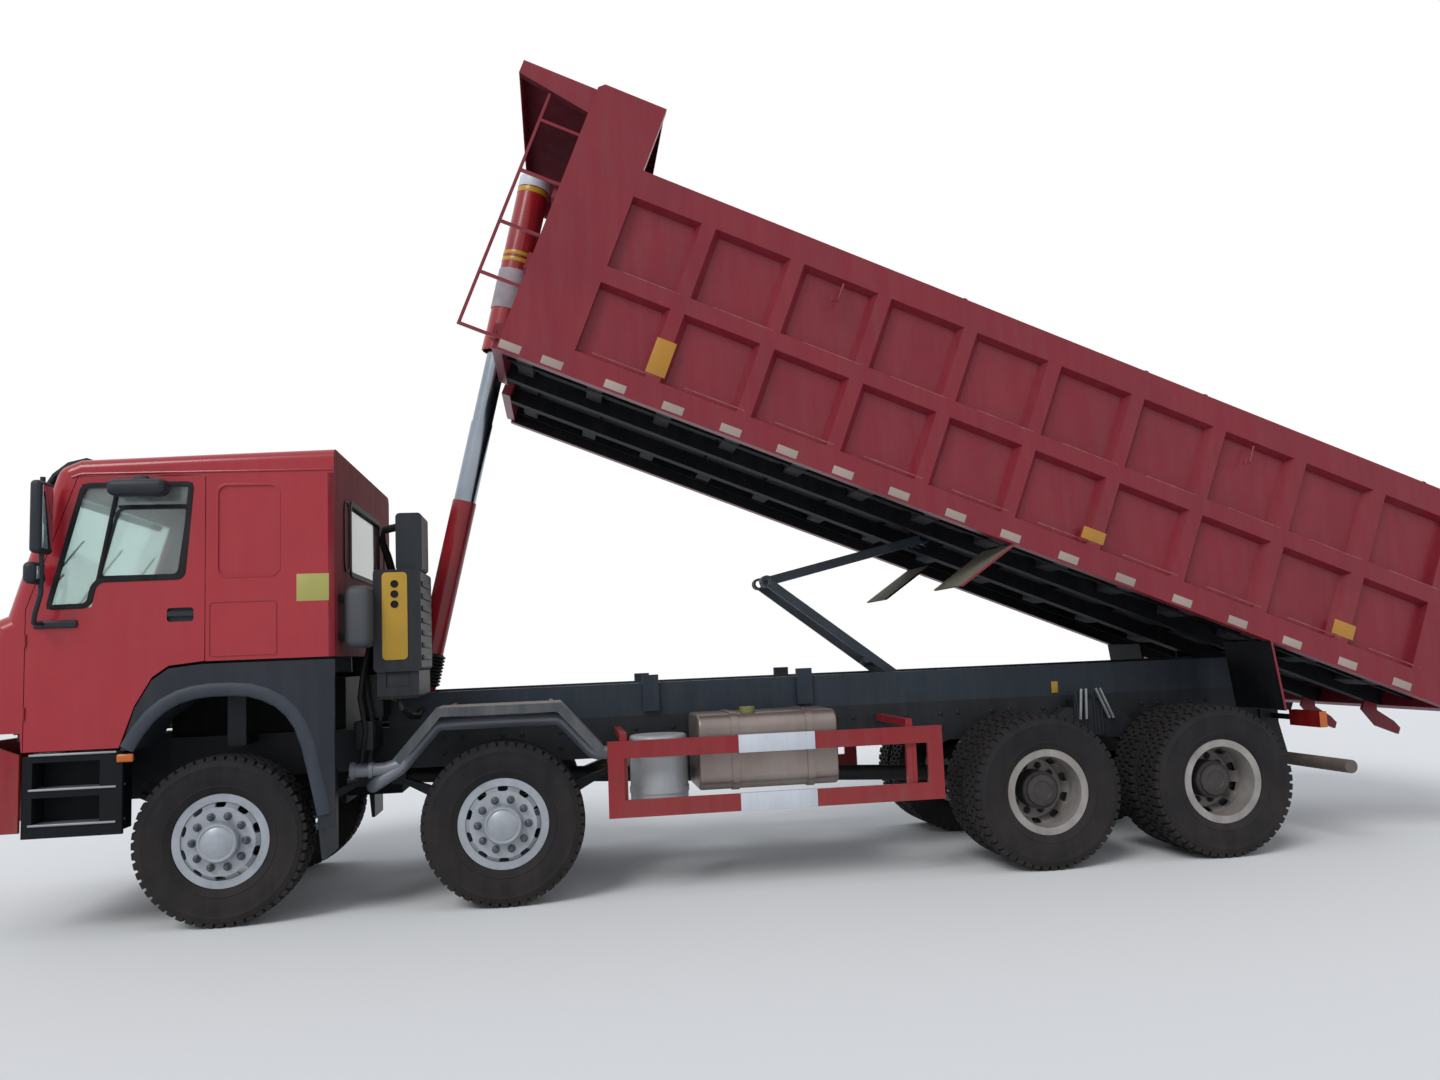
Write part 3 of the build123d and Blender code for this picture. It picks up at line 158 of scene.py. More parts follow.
def drawn(name, path):
    """A new line, left open with all of it selected: one point, extruded from place to place."""
    fresh()
    bpy.ops.mesh.primitive_plane_add(size=0.01, location=(0, 0, 0))
    piece = bpy.context.object
    piece.name = name
    bpy.ops.object.mode_set(mode="EDIT")
    bpy.ops.mesh.select_mode(type="VERT")
    bpy.ops.mesh.select_all(action="SELECT")
    bpy.ops.mesh.merge(type="CENTER")
    spot = path[0].copy()
    bpy.ops.transform.translate(value=spot)
    for place in path[1:]:
        step = place - spot
        bpy.ops.mesh.extrude_region_move(TRANSFORM_OT_translate={"value": step})
        spot += step
    bpy.ops.mesh.select_all(action="SELECT")
    return piece


def turned(name, points, place, turn=(0, 0, 0), steps=48):
    """A turned piece: a section of (radius, height) points, drawn and then spun about Z."""
    piece = drawn(name, [Vector((radius, 0, height)) for radius, height in points])
    bpy.ops.mesh.spin(steps=steps, angle=2 * pi, center=(0, 0, 0), axis=(0, 0, 1))
    bpy.ops.mesh.select_all(action="SELECT")
    bpy.ops.mesh.remove_doubles(threshold=0.00005)
    face_out()
    piece.rotation_euler = turn
    piece.location = place
    return piece


def ringed(count):
    """Repeats the open piece round Z and goes back to object mode."""
    bpy.ops.mesh.spin(steps=count, dupli=True, angle=2 * pi, center=(0, 0, 0), axis=(0, 0, 1))
    bpy.ops.mesh.select_all(action="SELECT")
    bpy.ops.mesh.remove_doubles(threshold=0.0001)
    done()


def sheet(name, outline, y, thickness, corner=0.03, edge=0.003):
    """A plate cut to an outline of (x, z) points with rounded corners, its outer face at y and softened."""
    piece = drawn(name, [at(x, y, z) for x, z in outline])
    bpy.ops.mesh.edge_face_add()
    bpy.ops.mesh.bevel(offset=corner, segments=6, affect="VERTICES")
    bpy.ops.mesh.select_all(action="SELECT")
    inward = -thickness if y > 0 else thickness
    bpy.ops.mesh.extrude_region_move(TRANSFORM_OT_translate={"value": (0, inward, 0)})
    face_out()
    pick(piece, lambda c, n: abs(n.y) > 0.9 and abs(c.y - y) < 1e-4)
    bpy.ops.mesh.bevel(offset=edge, segments=2, affect="EDGES")
    done()
    return piece


def wall_ring(name, outline, y, width, thickness, corner):
    """A flat seal round an opening: a rounded plate with both faces inset and bridged through."""
    piece = sheet(name, outline, y, thickness, corner=corner, edge=0.002)
    pick(piece, lambda c, n: abs(n.y) > 0.99)
    bpy.ops.mesh.inset(thickness=width)
    bpy.ops.mesh.bridge_edge_loops()
    done()
    return piece


def facing_back(name, y0, y1, z0, z1, width):
    """A seal ring on the cab's rear wall, made flat and turned a quarter about the upright axis."""
    outline = [(-y - AXLE_1, z) for y, z in ((y0, z0), (y1, z0), (y1, z1), (y0, z1))]
    ring = wall_ring(name, outline, CAB_REAR + AXLE_1 - 0.002, width, 0.012, 0.07)
    ring.rotation_euler = (0, 0, radians(-90))
    return ring


def bent(name, points, radius, steps=12):
    """A pipe through points: a circle extruded from joint to joint and turned into each new direction."""
    fresh()
    way = (points[1] - points[0]).normalized()
    bpy.ops.mesh.primitive_circle_add(vertices=steps, radius=radius, fill_type="NGON", location=points[0],
                                      rotation=way.to_track_quat("Z", "Y").to_euler())
    piece = bpy.context.object
    piece.name = name
    bpy.ops.object.transform_apply(location=True, rotation=True, scale=True)
    edit_all()
    for i in range(1, len(points)):
        bpy.ops.mesh.extrude_region_move(TRANSFORM_OT_translate={"value": points[i] - points[i - 1]})
        if i + 1 < len(points):
            after = (points[i + 1] - points[i]).normalized()
            # With no window this operator turns the other way, hence the minus.
            for axis, angle in zip("XYZ", way.rotation_difference(after).to_euler("XYZ")):
                bpy.ops.transform.rotate(value=-angle, orient_axis=axis, center_override=points[i])
            way = after
    face_out()
    return piece


def pipe(name, places, radius, steps=12):
    """A bent pipe through places measured from the first axle."""
    return bent(name, [at(*place) for place in places], radius, steps)


def again(piece, move):
    """A copy of a piece with its own mesh, moved on."""
    only(piece)
    bpy.ops.object.duplicate(linked=False)
    twin = bpy.context.object
    twin.location = twin.location + Vector(move)
    return twin


def settle(piece):
    """Puts a piece's place and turn into its mesh."""
    only(piece)
    bpy.ops.object.transform_apply(location=True, rotation=True, scale=True)
    return piece


def gather(name, pieces):
    """Joins pieces into one under a plain name."""
    for piece in pieces:
        settle(piece)
    fresh()
    for piece in pieces:
        piece.select_set(True)
    bpy.context.view_layer.objects.active = pieces[0]
    if len(pieces) > 1:
        bpy.ops.object.join()
    pieces[0].name = name
    return pieces[0]


def mirrored(piece, name):
    """A copy of a settled piece on the lorry's other side."""
    twin = again(piece, (0, 0, 0))
    twin.name = name
    twin.scale = (1, -1, 1)
    bpy.ops.object.transform_apply(location=True, rotation=True, scale=True)
    edit_all()
    face_out()
    return twin


def fit(piece, body, material, smooth=35):
    """Finishes a piece: place in its mesh, material, smooth shading, and the body that it rides on."""
    settle(piece)
    piece.data.materials.clear()
    piece.data.materials.append(material)
    bpy.ops.object.shade_smooth_by_angle(angle=radians(smooth))
    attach(piece, body)
    return piece


# Materials: noise scales are per metre, and object coordinates are the model's own
STREAK_STRETCH = (7.0, 7.0, 0.9)
SPLASH_FOOT = 0.2
GRAIN_DEPTH = 0.002
COAT_ROUGHNESS = 0.12


def colour(code):
    """Turns an sRGB hex value into a linear colour."""
    channels = [int(code[i : i + 2], 16) / 255 for i in (1, 3, 5)]
    return tuple(c / 12.92 if c <= 0.04045 else ((c + 0.055) / 1.055) ** 2.4 for c in channels) + (1.0,)


def add(tree, kind, inputs=None, stops=None, **settings):
    """Adds a node with its settings; each input is a value or the socket that feeds it."""
    new = tree.nodes.new(kind)
    for key, value in settings.items():
        setattr(new, key, value)
    if stops:
        ramp = new.color_ramp
        while len(ramp.elements) < len(stops):
            ramp.elements.new(0.5)
        for element, (position, shade) in zip(ramp.elements, stops):
            element.position = position
            element.color = colour(shade) if isinstance(shade, str) else (shade, shade, shade, 1)
    for key, value in (inputs or {}).items():
        if isinstance(value, bpy.types.NodeSocket):
            tree.links.new(value, new.inputs[key])
        else:
            new.inputs[key].default_value = value
    return new


def sums(tree, operation, first, second, clamp=False):
    """Two values added, multiplied or compared."""
    return add(tree, "ShaderNodeMath", {0: first, 1: second}, operation=operation, use_clamp=clamp).outputs[0]


def blank(name):
    """An empty material with its shader, its output and the object's own coordinates."""
    material = bpy.data.materials.new(name)
    material.use_nodes = True
    tree = material.node_tree
    tree.nodes.clear()
    shader = add(tree, "ShaderNodeBsdfPrincipled")
    add(tree, "ShaderNodeOutputMaterial", {"Surface": shader.outputs[0]})
    place = add(tree, "ShaderNodeTexCoord").outputs["Object"]
    return material, tree, shader, place


def finish(name, main, shade, dust="#8f877c", dusty=0.25, rough=(0.35, 0.55), metallic=0.0, coat=0.0, patch=0.6,
           streak=0.25, grain_mm=4.0, grain=0.05, splash=0.0, splash_top=1.2, speck=None, specular=0.3):
    """A coated or bare surface: two tones in broad patches, dust in streaks and low down, specks, and a fine grain."""
    material, tree, shader, place = blank(name)
    shader.inputs["Specular IOR Level"].default_value = specular
    broad = add(tree, "ShaderNodeTexNoise", {"Vector": place, "Scale": 1 / patch, "Detail": 4.0, "Roughness": 0.6})
    tone = add(tree, "ShaderNodeValToRGB", {"Fac": broad.outputs["Fac"]}, stops=[(0.35, main), (0.7, shade)])
    long_way = add(tree, "ShaderNodeMapping", {"Vector": place, "Scale": STREAK_STRETCH})
    runs = add(tree, "ShaderNodeTexNoise",
               {"Vector": long_way.outputs[0], "Scale": 1.6, "Detail": 6.0, "Roughness": 0.65})
    film = add(tree, "ShaderNodeValToRGB", {"Fac": runs.outputs["Fac"]}, stops=[(0.42, 0.0), (0.8, 1.0)])
    cover = sums(tree, "MULTIPLY", film.outputs[0], streak + dusty * 0.4)
    height = add(tree, "ShaderNodeSeparateXYZ", {"Vector": place})
    near_road = add(tree, "ShaderNodeMapRange", {"Value": height.outputs["Z"], "From Min": splash_top,
                                                 "From Max": SPLASH_FOOT, "To Min": 0.0, "To Max": splash})
    up = add(tree, "ShaderNodeSeparateXYZ", {"Vector": add(tree, "ShaderNodeNewGeometry").outputs["Normal"]})
    settled = add(tree, "ShaderNodeMapRange", {"Value": up.outputs["Z"], "From Min": 0.3, "From Max": 1.0,
                                               "To Min": 0.0, "To Max": dusty})
    low_dust = sums(tree, "MULTIPLY", near_road.outputs[0], broad.outputs["Fac"])
    on_walls = sums(tree, "ADD", cover, low_dust)
    all_dust = sums(tree, "ADD", on_walls, settled.outputs[0], clamp=True)
    dusted = add(tree, "ShaderNodeMix", {0: all_dust, 6: tone.outputs[0], 7: colour(dust)}, data_type="RGBA")
    result = dusted.outputs[2]
    fine = add(tree, "ShaderNodeTexNoise", {"Vector": place, "Scale": 1000 / grain_mm, "Detail": 3.0})
    if speck:
        chips = add(tree, "ShaderNodeTexNoise", {"Vector": place, "Scale": 42.0, "Detail": 5.0, "Roughness": 0.7})
        spots = add(tree, "ShaderNodeValToRGB", {"Fac": chips.outputs["Fac"]}, stops=[(0.68, 0.0), (0.73, 1.0)])
        chipped = add(tree, "ShaderNodeMix", {0: spots.outputs[0], 6: result, 7: colour(speck)}, data_type="RGBA")
        result = chipped.outputs[2]
    gloss = add(tree, "ShaderNodeMapRange", {"Value": all_dust, "To Min": rough[0], "To Max": rough[1]})
    relief = add(tree, "ShaderNodeBump", {"Height": fine.outputs["Fac"], "Strength": grain, "Distance": GRAIN_DEPTH})
    tree.links.new(result, shader.inputs["Base Color"])
    tree.links.new(gloss.outputs[0], shader.inputs["Roughness"])
    tree.links.new(relief.outputs[0], shader.inputs["Normal"])
    shader.inputs["Metallic"].default_value = metallic
    shader.inputs["Coat Weight"].default_value = coat
    shader.inputs["Coat Roughness"].default_value = COAT_ROUGHNESS
    return material


# Body enamel sprayed on welded plate: an even red with a soft sheen, darker than the cab's red partly as painted shade,
# for the raised body's sides lie in shade, and dulled by dust that has run down it.
body_enamel = finish("body_enamel_red", "#7f1f2d", "#751d2a", dusty=0.07, rough=(0.36, 0.6), coat=0.06, streak=0.04,
                     grain=0.10, grain_mm=6)
# Cab enamel, baked: cleaner and glossier, with slight orange peel.
cab_enamel = finish("cab_enamel_red", "#a2222e", "#9a202c", dusty=0.05, rough=(0.25, 0.45), coat=0.3, streak=0.02,
                    grain=0.03, grain_mm=9)
# The cab's rear wall: the same red, darkened as painted shade, for the wall faces away from the light, and matt with
# road film on it.
rear_wall_painted_shade = finish("cab_rear_painted_shade", "#7c1f29", "#6c1e26", dusty=0.15, rough=(0.7, 0.9), streak=0.15, specular=0.1)
# The same enamel near the road, on bumper and side guards, with road film on it.
guard_enamel = finish("guard_enamel_red", "#8d1b23", "#811a21", dusty=0.10, rough=(0.35, 0.6), coat=0.1, streak=0.05,
                      splash=0.18, splash_top=1.1)
# Dust settled on the pressed ledges of the body's sides.
ledge_dust = finish("ledge_dust_pale", "#9a4d55", "#85343e", dusty=0.1, dust="#a98d84", rough=(0.8, 0.95), streak=0.6,
                    specular=0.1)
# Hoist enamel: a purer red, wiped clean by hand.
hoist_enamel = finish("hoist_enamel_red", "#9a1a25", "#861821", dusty=0.05, rough=(0.28, 0.5), coat=0.3, streak=0.05)
# Chassis paint: black, semi-matt, brushed over rolled steel and covered with dry mud film.
chassis_paint = finish("chassis_paint_black", "#14181d", "#1b1f25", dust="#59524b", dusty=0.2, rough=(0.5, 0.85),
                       streak=0.08, splash=0.25, splash_top=0.9, grain=0.15, speck="#2b2e32")
# Subframe paint: dark slate grey, a little bluer and drier than the chassis.
slate_paint = finish("subframe_paint_slate", "#26303b", "#1f2831", dust="#6b665f", dusty=0.2, rough=(0.5, 0.8),
                     streak=0.05, grain=0.12, speck="#38404a")
# Black paint under the body, matt, darker than the chassis black as painted shade, for all under the body lies in
# shade; with chalky dust that clings to the cross-members.
under_black_and_shade = finish("underbody_black_and_painted_shade", "#0b0d12", "#101217", dusty=0.10, dust="#4b4743", rough=(0.6, 0.9),
                     streak=0.10, grain=0.2, speck="#2c2b2b", specular=0.15)
# Arm paint on the body stabiliser: plain dark grey gloss.
arm_paint = finish("stay_paint_grey", "#262f38", "#303a44", dusty=0.12, rough=(0.4, 0.7), streak=0.04)
# Aluminised steel pipe and its heat-tinted bends: bluish grey, dull.
pipe_steel = finish("exhaust_steel_aluminised", "#868b94", "#6e727d", dust="#857b72", dusty=0.25, rough=(0.4, 0.7),
                    metallic=0.35, streak=0.12)
# Silencer drum in pale heat-proof paint.
drum_paint = finish("silencer_paint_pale_grey", "#b9bcbf", "#a5a8ab", dusty=0.2, rough=(0.4, 0.65), metallic=0.1,
                    streak=0.15)
# Mudguard sheet: galvanised and painted grey, with dust lying on top.
guard_sheet = finish("mudguard_sheet_grey", "#4b5055", "#3d4247", dust="#8f867c", dusty=0.5, rough=(0.5, 0.8),
                     metallic=0.1, streak=0.15)
# Dust-coated sheet that hangs before the drive wheels.
splash_dust = finish("splash_plate_dusty", "#69655a", "#56534a", dust="#86806f", dusty=0.4, rough=(0.7, 0.9),
                     streak=0.4)
# Fuel tank: mill-finish aluminium, warm grey where dust has dried on it.
tank_alloy = finish("tank_aluminium_mill", "#958a85", "#7e736e", dust="#7d6b60", dusty=0.25, rough=(0.32, 0.55),
                    metallic=0.6, streak=0.3, grain=0.06, grain_mm=3)
# The same red under the canopy, darkened as painted shade, for it lies in shade, and matt.
canopy_painted_shade = finish("body_enamel_painted_shade", "#571825", "#4b1520", dusty=0.05, rough=(0.75, 0.95), streak=0.06,
                      specular=0.05)
# Cross-members under the floor, grey with dried dust.
member_dust = finish("member_paint_dusty", "#4a4b50", "#3b3c41", dust="#6f6a66", dusty=0.3, rough=(0.8, 0.95),
                     streak=0.35, specular=0.1)
# Entry steps: black plastic, darker than the other moulded black as painted shade, for they stand in the shade of the
# cab.
step_black_and_shade = finish("step_plastic_black_and_painted_shade", "#0c0e12", "#111419", dusty=0.08, dust="#4d4a47", rough=(0.6, 0.8),
                    streak=0.03, splash=0.08, splash_top=0.9, specular=0.15)
# The underrun bar: brown with dried mud.
bar_mud = finish("bar_paint_muddy", "#6d645c", "#554f4a", dust="#8d8072", dusty=0.3, rough=(0.7, 0.9), streak=0.3)
# Moulded black plastic on arches, steps and mirrors: satin, with a fine leather-like grain.
moulded_black = finish("moulded_plastic_black", "#1b2028", "#21262e", dusty=0.12, dust="#6a6764", rough=(0.45, 0.7),
                       streak=0.03, splash=0.12, splash_top=1.0, grain=0.25, grain_mm=2.5)
# The flare over the front wheel is unpainted plastic, a lighter grey than the arch partly as painted highlight along
# its rounded lip.
flare_plastic_and_highlight = finish("flare_plastic_painted_highlight", "#2f343e", "#383d47", dusty=0.15, dust="#7a7672", rough=(0.5, 0.75),
                       streak=0.05, grain=0.25, grain_mm=2.5)
# Interior trim: grey moulded plastic and woven seat cloth.
cab_trim = finish("interior_plastic_grey", "#4d4f53", "#404247", dusty=0.05, rough=(0.55, 0.75), streak=0.0, grain=0.3,
                  grain_mm=2)
seat_cloth = finish("seat_cloth_dark", "#26282d", "#202227", dusty=0.0, rough=(0.85, 0.95), streak=0.0, grain=0.5,
                    grain_mm=3)
# Tyre rubber: near black, matt, browned by road dust on tread and wall.
tyre_rubber = finish("tyre_rubber_dusty", "#18171b", "#1f1d20", dust="#4f4842", dusty=0.12, rough=(0.72, 0.92),
                     streak=0.10, splash=0.30, splash_top=1.1, grain=0.2, grain_mm=5, patch=0.25, specular=0.2)
# Silver wheel paint: fine metallic lacquer with brake dust.
wheel_silver = finish("wheel_paint_silver", "#a9aeb5", "#969ba2", dust="#6d625a", dusty=0.1, rough=(0.35, 0.6),
                      metallic=0.3, streak=0.12, patch=0.15)
# The rear wheels wear the same paint under dried mud.
wheel_dusty = finish("wheel_paint_muddy", "#a39e9a", "#878280", dust="#6b5c54", dusty=0.25, rough=(0.5, 0.8),
                     metallic=0.15, streak=0.35, patch=0.2)
hub_iron = finish("hub_iron_dark", "#454344", "#363435", dust="#5a4d46", dusty=0.2, rough=(0.5, 0.8), metallic=0.2,
                  streak=0.25, patch=0.1)
# Wheel nuts: phosphated steel, oily and dark.
nut_steel = finish("nut_steel_phosphated", "#565a60", "#484c52", dusty=0.1, rough=(0.4, 0.6), metallic=0.5, streak=0.15,
                   patch=0.1)
# Hard chrome on the hoist's stages: mirror-like with an oil film.
hoist_chrome = finish("hoist_hard_chrome", "#98a1ac", "#808993", dusty=0.0, rough=(0.18, 0.35), metallic=1.0,
                      streak=0.10, grain=0.01)
# Retro-reflective tape: off-white, with a slight bead texture.
reflector = finish("reflective_tape_white", "#a8978f", "#94837b", dusty=0.1, rough=(0.4, 0.55), streak=0.15, grain=0.3,
                   grain_mm=3)
guard_white = finish("guard_enamel_white", "#ccd2da", "#bdc3cc", dusty=0.1, rough=(0.35, 0.6), streak=0.2, splash=0.15,
                     splash_top=1.1)
# Cloth-backed tape wound round the hoist's cover: off-white and creased.
wrap_tape = finish("wrap_tape_pale", "#a39aa0", "#8c8288", dusty=0.1, rough=(0.6, 0.8), streak=0.3, grain=0.5,
                   grain_mm=12, patch=0.12)
# Yellow vinyl, blank, slightly faded.
yellow_vinyl = finish("sticker_vinyl_yellow", "#b37d2c", "#a2752c", dusty=0.05, rough=(0.4, 0.55), streak=0.12)
plate_yellow = finish("gauge_plate_yellow", "#bd9325", "#a98524", dusty=0.05, rough=(0.3, 0.45), coat=0.2, streak=0.08)
pale_vinyl = finish("sticker_vinyl_pale", "#a8a35c", "#9c9753", dusty=0.03, rough=(0.4, 0.5), streak=0.05)
# Rubber window seal and hoses.
rubber = finish("rubber_black", "#101114", "#16171a", dusty=0.08, rough=(0.6, 0.8), streak=0.03, grain=0.1,
                specular=0.2)
# Chequered aluminium on the steps.
tread_alloy = finish("step_aluminium", "#9ea3a8", "#8b9095", dusty=0.2, rough=(0.35, 0.55), metallic=0.6, streak=0.2,
                     grain=0.4, grain_mm=12)
bright_steel = finish("steel_zinc_plated", "#9b9fa3", "#85898d", dusty=0.1, rough=(0.3, 0.5), metallic=0.6, streak=0.15,
                      patch=0.1)
# Brass drain and elbow under the oil tank.
brass = finish("brass_fitting", "#b08a45", "#96743a", dusty=0.1, rough=(0.3, 0.5), metallic=0.9, streak=0.1, patch=0.1)
# Moulded lamp lenses: amber, red and clear, with fine ribs.
amber_lens = finish("lamp_lens_amber", "#c9661a", "#b85c15", dusty=0.05, rough=(0.15, 0.3), coat=0.4, streak=0.05,
                    grain=0.3, grain_mm=8)
red_lens = finish("lamp_lens_red", "#961818", "#861515", dusty=0.05, rough=(0.15, 0.3), coat=0.4, streak=0.05,
                  grain=0.3, grain_mm=8)
lamp_clear = finish("lamp_lens_clear", "#cdd3d6", "#b9c0c4", dusty=0.05, rough=(0.08, 0.2), metallic=0.3, coat=0.8,
                    streak=0.0, grain=0.3, grain_mm=10)
# Filler cap: yellow-green paint, handled and dusty.
cap_green = finish("filler_cap_yellow_green", "#7c7b38", "#6b6a30", dusty=0.2, rough=(0.4, 0.6), streak=0.1)
# Silvered mirror glass.
mirror_glass = finish("mirror_glass", "#c5ccd2", "#b9c1c8", dusty=0.0, rough=(0.03, 0.08), metallic=1.0, streak=0.0,
                      grain=0.0)

# Tinted safety glass: clear with a cool green cast and a faint film of dust.
window_glass, tree, shader, place = blank("window_glass_tinted")
film = add(tree, "ShaderNodeTexNoise", {"Vector": place, "Scale": 5.0, "Detail": 4.0})
haze = add(tree, "ShaderNodeMapRange", {"Value": film.outputs["Fac"], "To Min": 0.01, "To Max": 0.10})
tint = add(tree, "ShaderNodeValToRGB", {"Fac": film.outputs["Fac"]}, stops=[(0.3, "#dcefeb"), (0.8, "#e6f4f1")])
tree.links.new(haze.outputs[0], shader.inputs["Roughness"])
tree.links.new(tint.outputs[0], shader.inputs["Base Color"])
shader.inputs["Transmission Weight"].default_value = 0.9
shader.inputs["IOR"].default_value = 1.5


def paint(node, main, *zones):
    """Gives a CAD node its finish, and other finishes to the faces in its zones; the last zone that fits counts."""
    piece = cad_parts[node]
    piece.data.materials.clear()
    for material in (main, *(zone[0] for zone in zones)):
        piece.data.materials.append(material)
    for face in piece.data.polygons:
        spot = face.center - at(0, 0, 0)
        face.material_index = 0
        for i, (material, test) in enumerate(zones, start=1):
            if test(spot, face.normal):
                face.material_index = i


def bed_height(spot):
    """How far a place lies above the raised body's underside."""
    return (spot.x - BED_CORNER[0]) * sin(TIP) + (spot.z - BED_CORNER[1]) * cos(TIP)


def bed_along(spot):
    """How far back a place lies along the raised body."""
    return (spot.x - BED_CORNER[0]) * cos(TIP) - (spot.z - BED_CORNER[1]) * sin(TIP)


def roof_line(x):
    """The height of the cab's roof over a place along it, ahead of its ridge."""
    if x < -0.96:
        return 2.9 + (x + 1.04) * 1.375
    return 3.01 + (x + 0.96) * 0.42 if x < -0.86 else 3.0535


def in_hub(spot, normal):
    """Whether a face of a driven wheel's rim lies on its dark hub."""
    return (spot.z - WHEEL_Z) ** 2 + min((spot.x - x) ** 2 for x in AXLES[2:]) < HUB_R**2


# CAD nodes in one finish throughout
PLAIN = (
    (slate_paint, ("subframe",)),
    # The engine, under the cab, in the underbody black with painted shade
    (under_black_and_shade, ("engine",)),
    (chassis_paint, ("axles", "oil_tank", "battery_box")),
    (guard_enamel, ("side_guards", "bumper")),
    # The steps in a darker black, as painted shade
    (step_black_and_shade, ("steps",)),
    (moulded_black, ("air_intake", "wheel_arches")),
    (guard_sheet, ("mudguards",)),
    # The cab's rear wall in a darker red, as painted shade
    (rear_wall_painted_shade, ("cab_back",)),
    (window_glass, ("cab_glass", "door_glass_left", "door_glass_right")),
    (body_enamel, ("bed_sides", "tailgate")),
    (hoist_enamel, ("hoist_base", "hoist_cover")),
    (hoist_chrome, ("hoist_stage_1", "hoist_stage_2", "hoist_stage_3")),
    (arm_paint, ("stay_lower", "stay_upper")),
)
for main, nodes in PLAIN:
    for node in nodes:
        paint(node, main)

# The underrun bar, the bogie springs' clamps, the silencer, and the filler cap and brackets of the fuel tank
paint("frame", chassis_paint, (bar_mud, lambda p, n: p.z < 0.66 and 7.9 < p.x < 8.1))
paint("springs", chassis_paint, (bright_steel, lambda p, n: abs(p.x - 6.3) < 0.12 and p.z > 1.155))
paint("exhaust", pipe_steel, (drum_paint, lambda p, n: p.x > 2.66 and p.z < 1.08))
paint("fuel_tank", tank_alloy, (cap_green, lambda p, n: p.z > 1.209), (hub_iron, lambda p, n: abs(p.y) < 0.49))
# Headlamps are clear; the rear lamps are red with amber ends on a black carrier
paint("lamps", lamp_clear, (red_lens, lambda p, n: p.x > 5),
      (amber_lens, lambda p, n: p.x > 5 and (abs(p.y) > 0.94 or n.z < -0.5)),
      (chassis_paint, lambda p, n: p.x > 5 and abs(p.y) < 0.7))
# The cab's grille, sun visor, rear-facing faces in painted shade, seats, underside and door handles
paint("cab_front", cab_enamel, (moulded_black, lambda p, n: p.x < -1.4015))
paint("cab_roof", cab_enamel,
      (moulded_black, lambda p, n: p.x < -0.815 and abs(p.y) < 1.101 and p.z > roof_line(p.x) + 0.002),
      (rear_wall_painted_shade, lambda p, n: n.x > 0.7 and p.x > 0.6))
paint("cab_sides", cab_enamel, (rear_wall_painted_shade, lambda p, n: n.x > 0.7 and p.x > 0.6))
paint("cab_interior", cab_trim, (seat_cloth, lambda p, n: p.x > -0.45 and p.z > 1.745 and abs(p.y) > 0.37),
      (chassis_paint, lambda p, n: p.z < 1.26))
for side, _ in SIDES:
    paint("door_" + side, cab_enamel, (moulded_black, lambda p, n: -0.316 < p.x < -0.144 and 1.968 < p.z < 2.066))
    for axle in (1, 2):
        paint(f"rim_{axle}_{side}", wheel_silver)
        paint(f"knuckle_{axle}_{side}", chassis_paint)
    for axle in (3, 4):
        paint(f"rim_{axle}_{side}", wheel_dusty, (hub_iron, in_hub))
# Under the floor all is black paint, darkened further as painted shade, but the rear hinge's ends, with dusty
# cross-members; the canopy's underside is in painted shade
paint("bed_floor", body_enamel,
      (under_black_and_shade, lambda p, n: bed_height(p) < 0.192 and not (bed_along(p) > 7.47 and bed_height(p) < 0.02)),
      (member_dust, lambda p, n: n.dot(UNDER_WAY) > 0.9 and 0.11 < bed_height(p) < 0.15))
paint("bed_front", body_enamel, (canopy_painted_shade, lambda p, n: n.dot(UNDER_WAY) > 0.5 and bed_height(p) > 1.4))
# The splash plates: underbody black with painted shade, red on their outer edges, dusty on their fronts
paint("splash_plates", under_black_and_shade, (body_enamel, lambda p, n: abs(p.y) > 1.249),
      (splash_dust, lambda p, n: n.x < -0.2 and abs(p.y) < 1.249 and p.x < 6.3))

# Tyres: a moulded carcass with rim bead, wall rings and shoulder, and rows of tread blocks over its groove floor.
GROOVE_R = TYRE_R - TREAD_DEPTH
BLOCK_SINK = 0.0006
CARCASS_HALF = [
    (0.2628, 0.106), (0.3023, 0.106), (0.308, 0.126), (0.345, 0.143), (0.352, 0.1465), (0.357, 0.1435),
    (0.399, 0.1533), (0.443, TYRE_HALF_W), (0.475, 0.1545), (0.481, TYRE_HALF_W), (0.488, 0.1525), (0.512, 0.144),
    (GROOVE_R - 0.004, 0.118), (GROOVE_R, 0.100),
]
CARCASS = CARCASS_HALF + [(r, -y) for r, y in reversed(CARCASS_HALF)] + [CARCASS_HALF[0]]
# Each row of tread blocks: middle of the row, block length round the tyre, width, how far it reaches down, count
TREAD_ROWS = (
    (0.112, 0.054, 0.056, 0.030, 52),
    (0.050, 0.058, 0.048, 0.018, 48),
    (0.000, 0.058, 0.042, 0.018, 48),
    (-0.050, 0.058, 0.048, 0.018, 48),
    (-0.112, 0.054, 0.056, 0.030, 52),
)


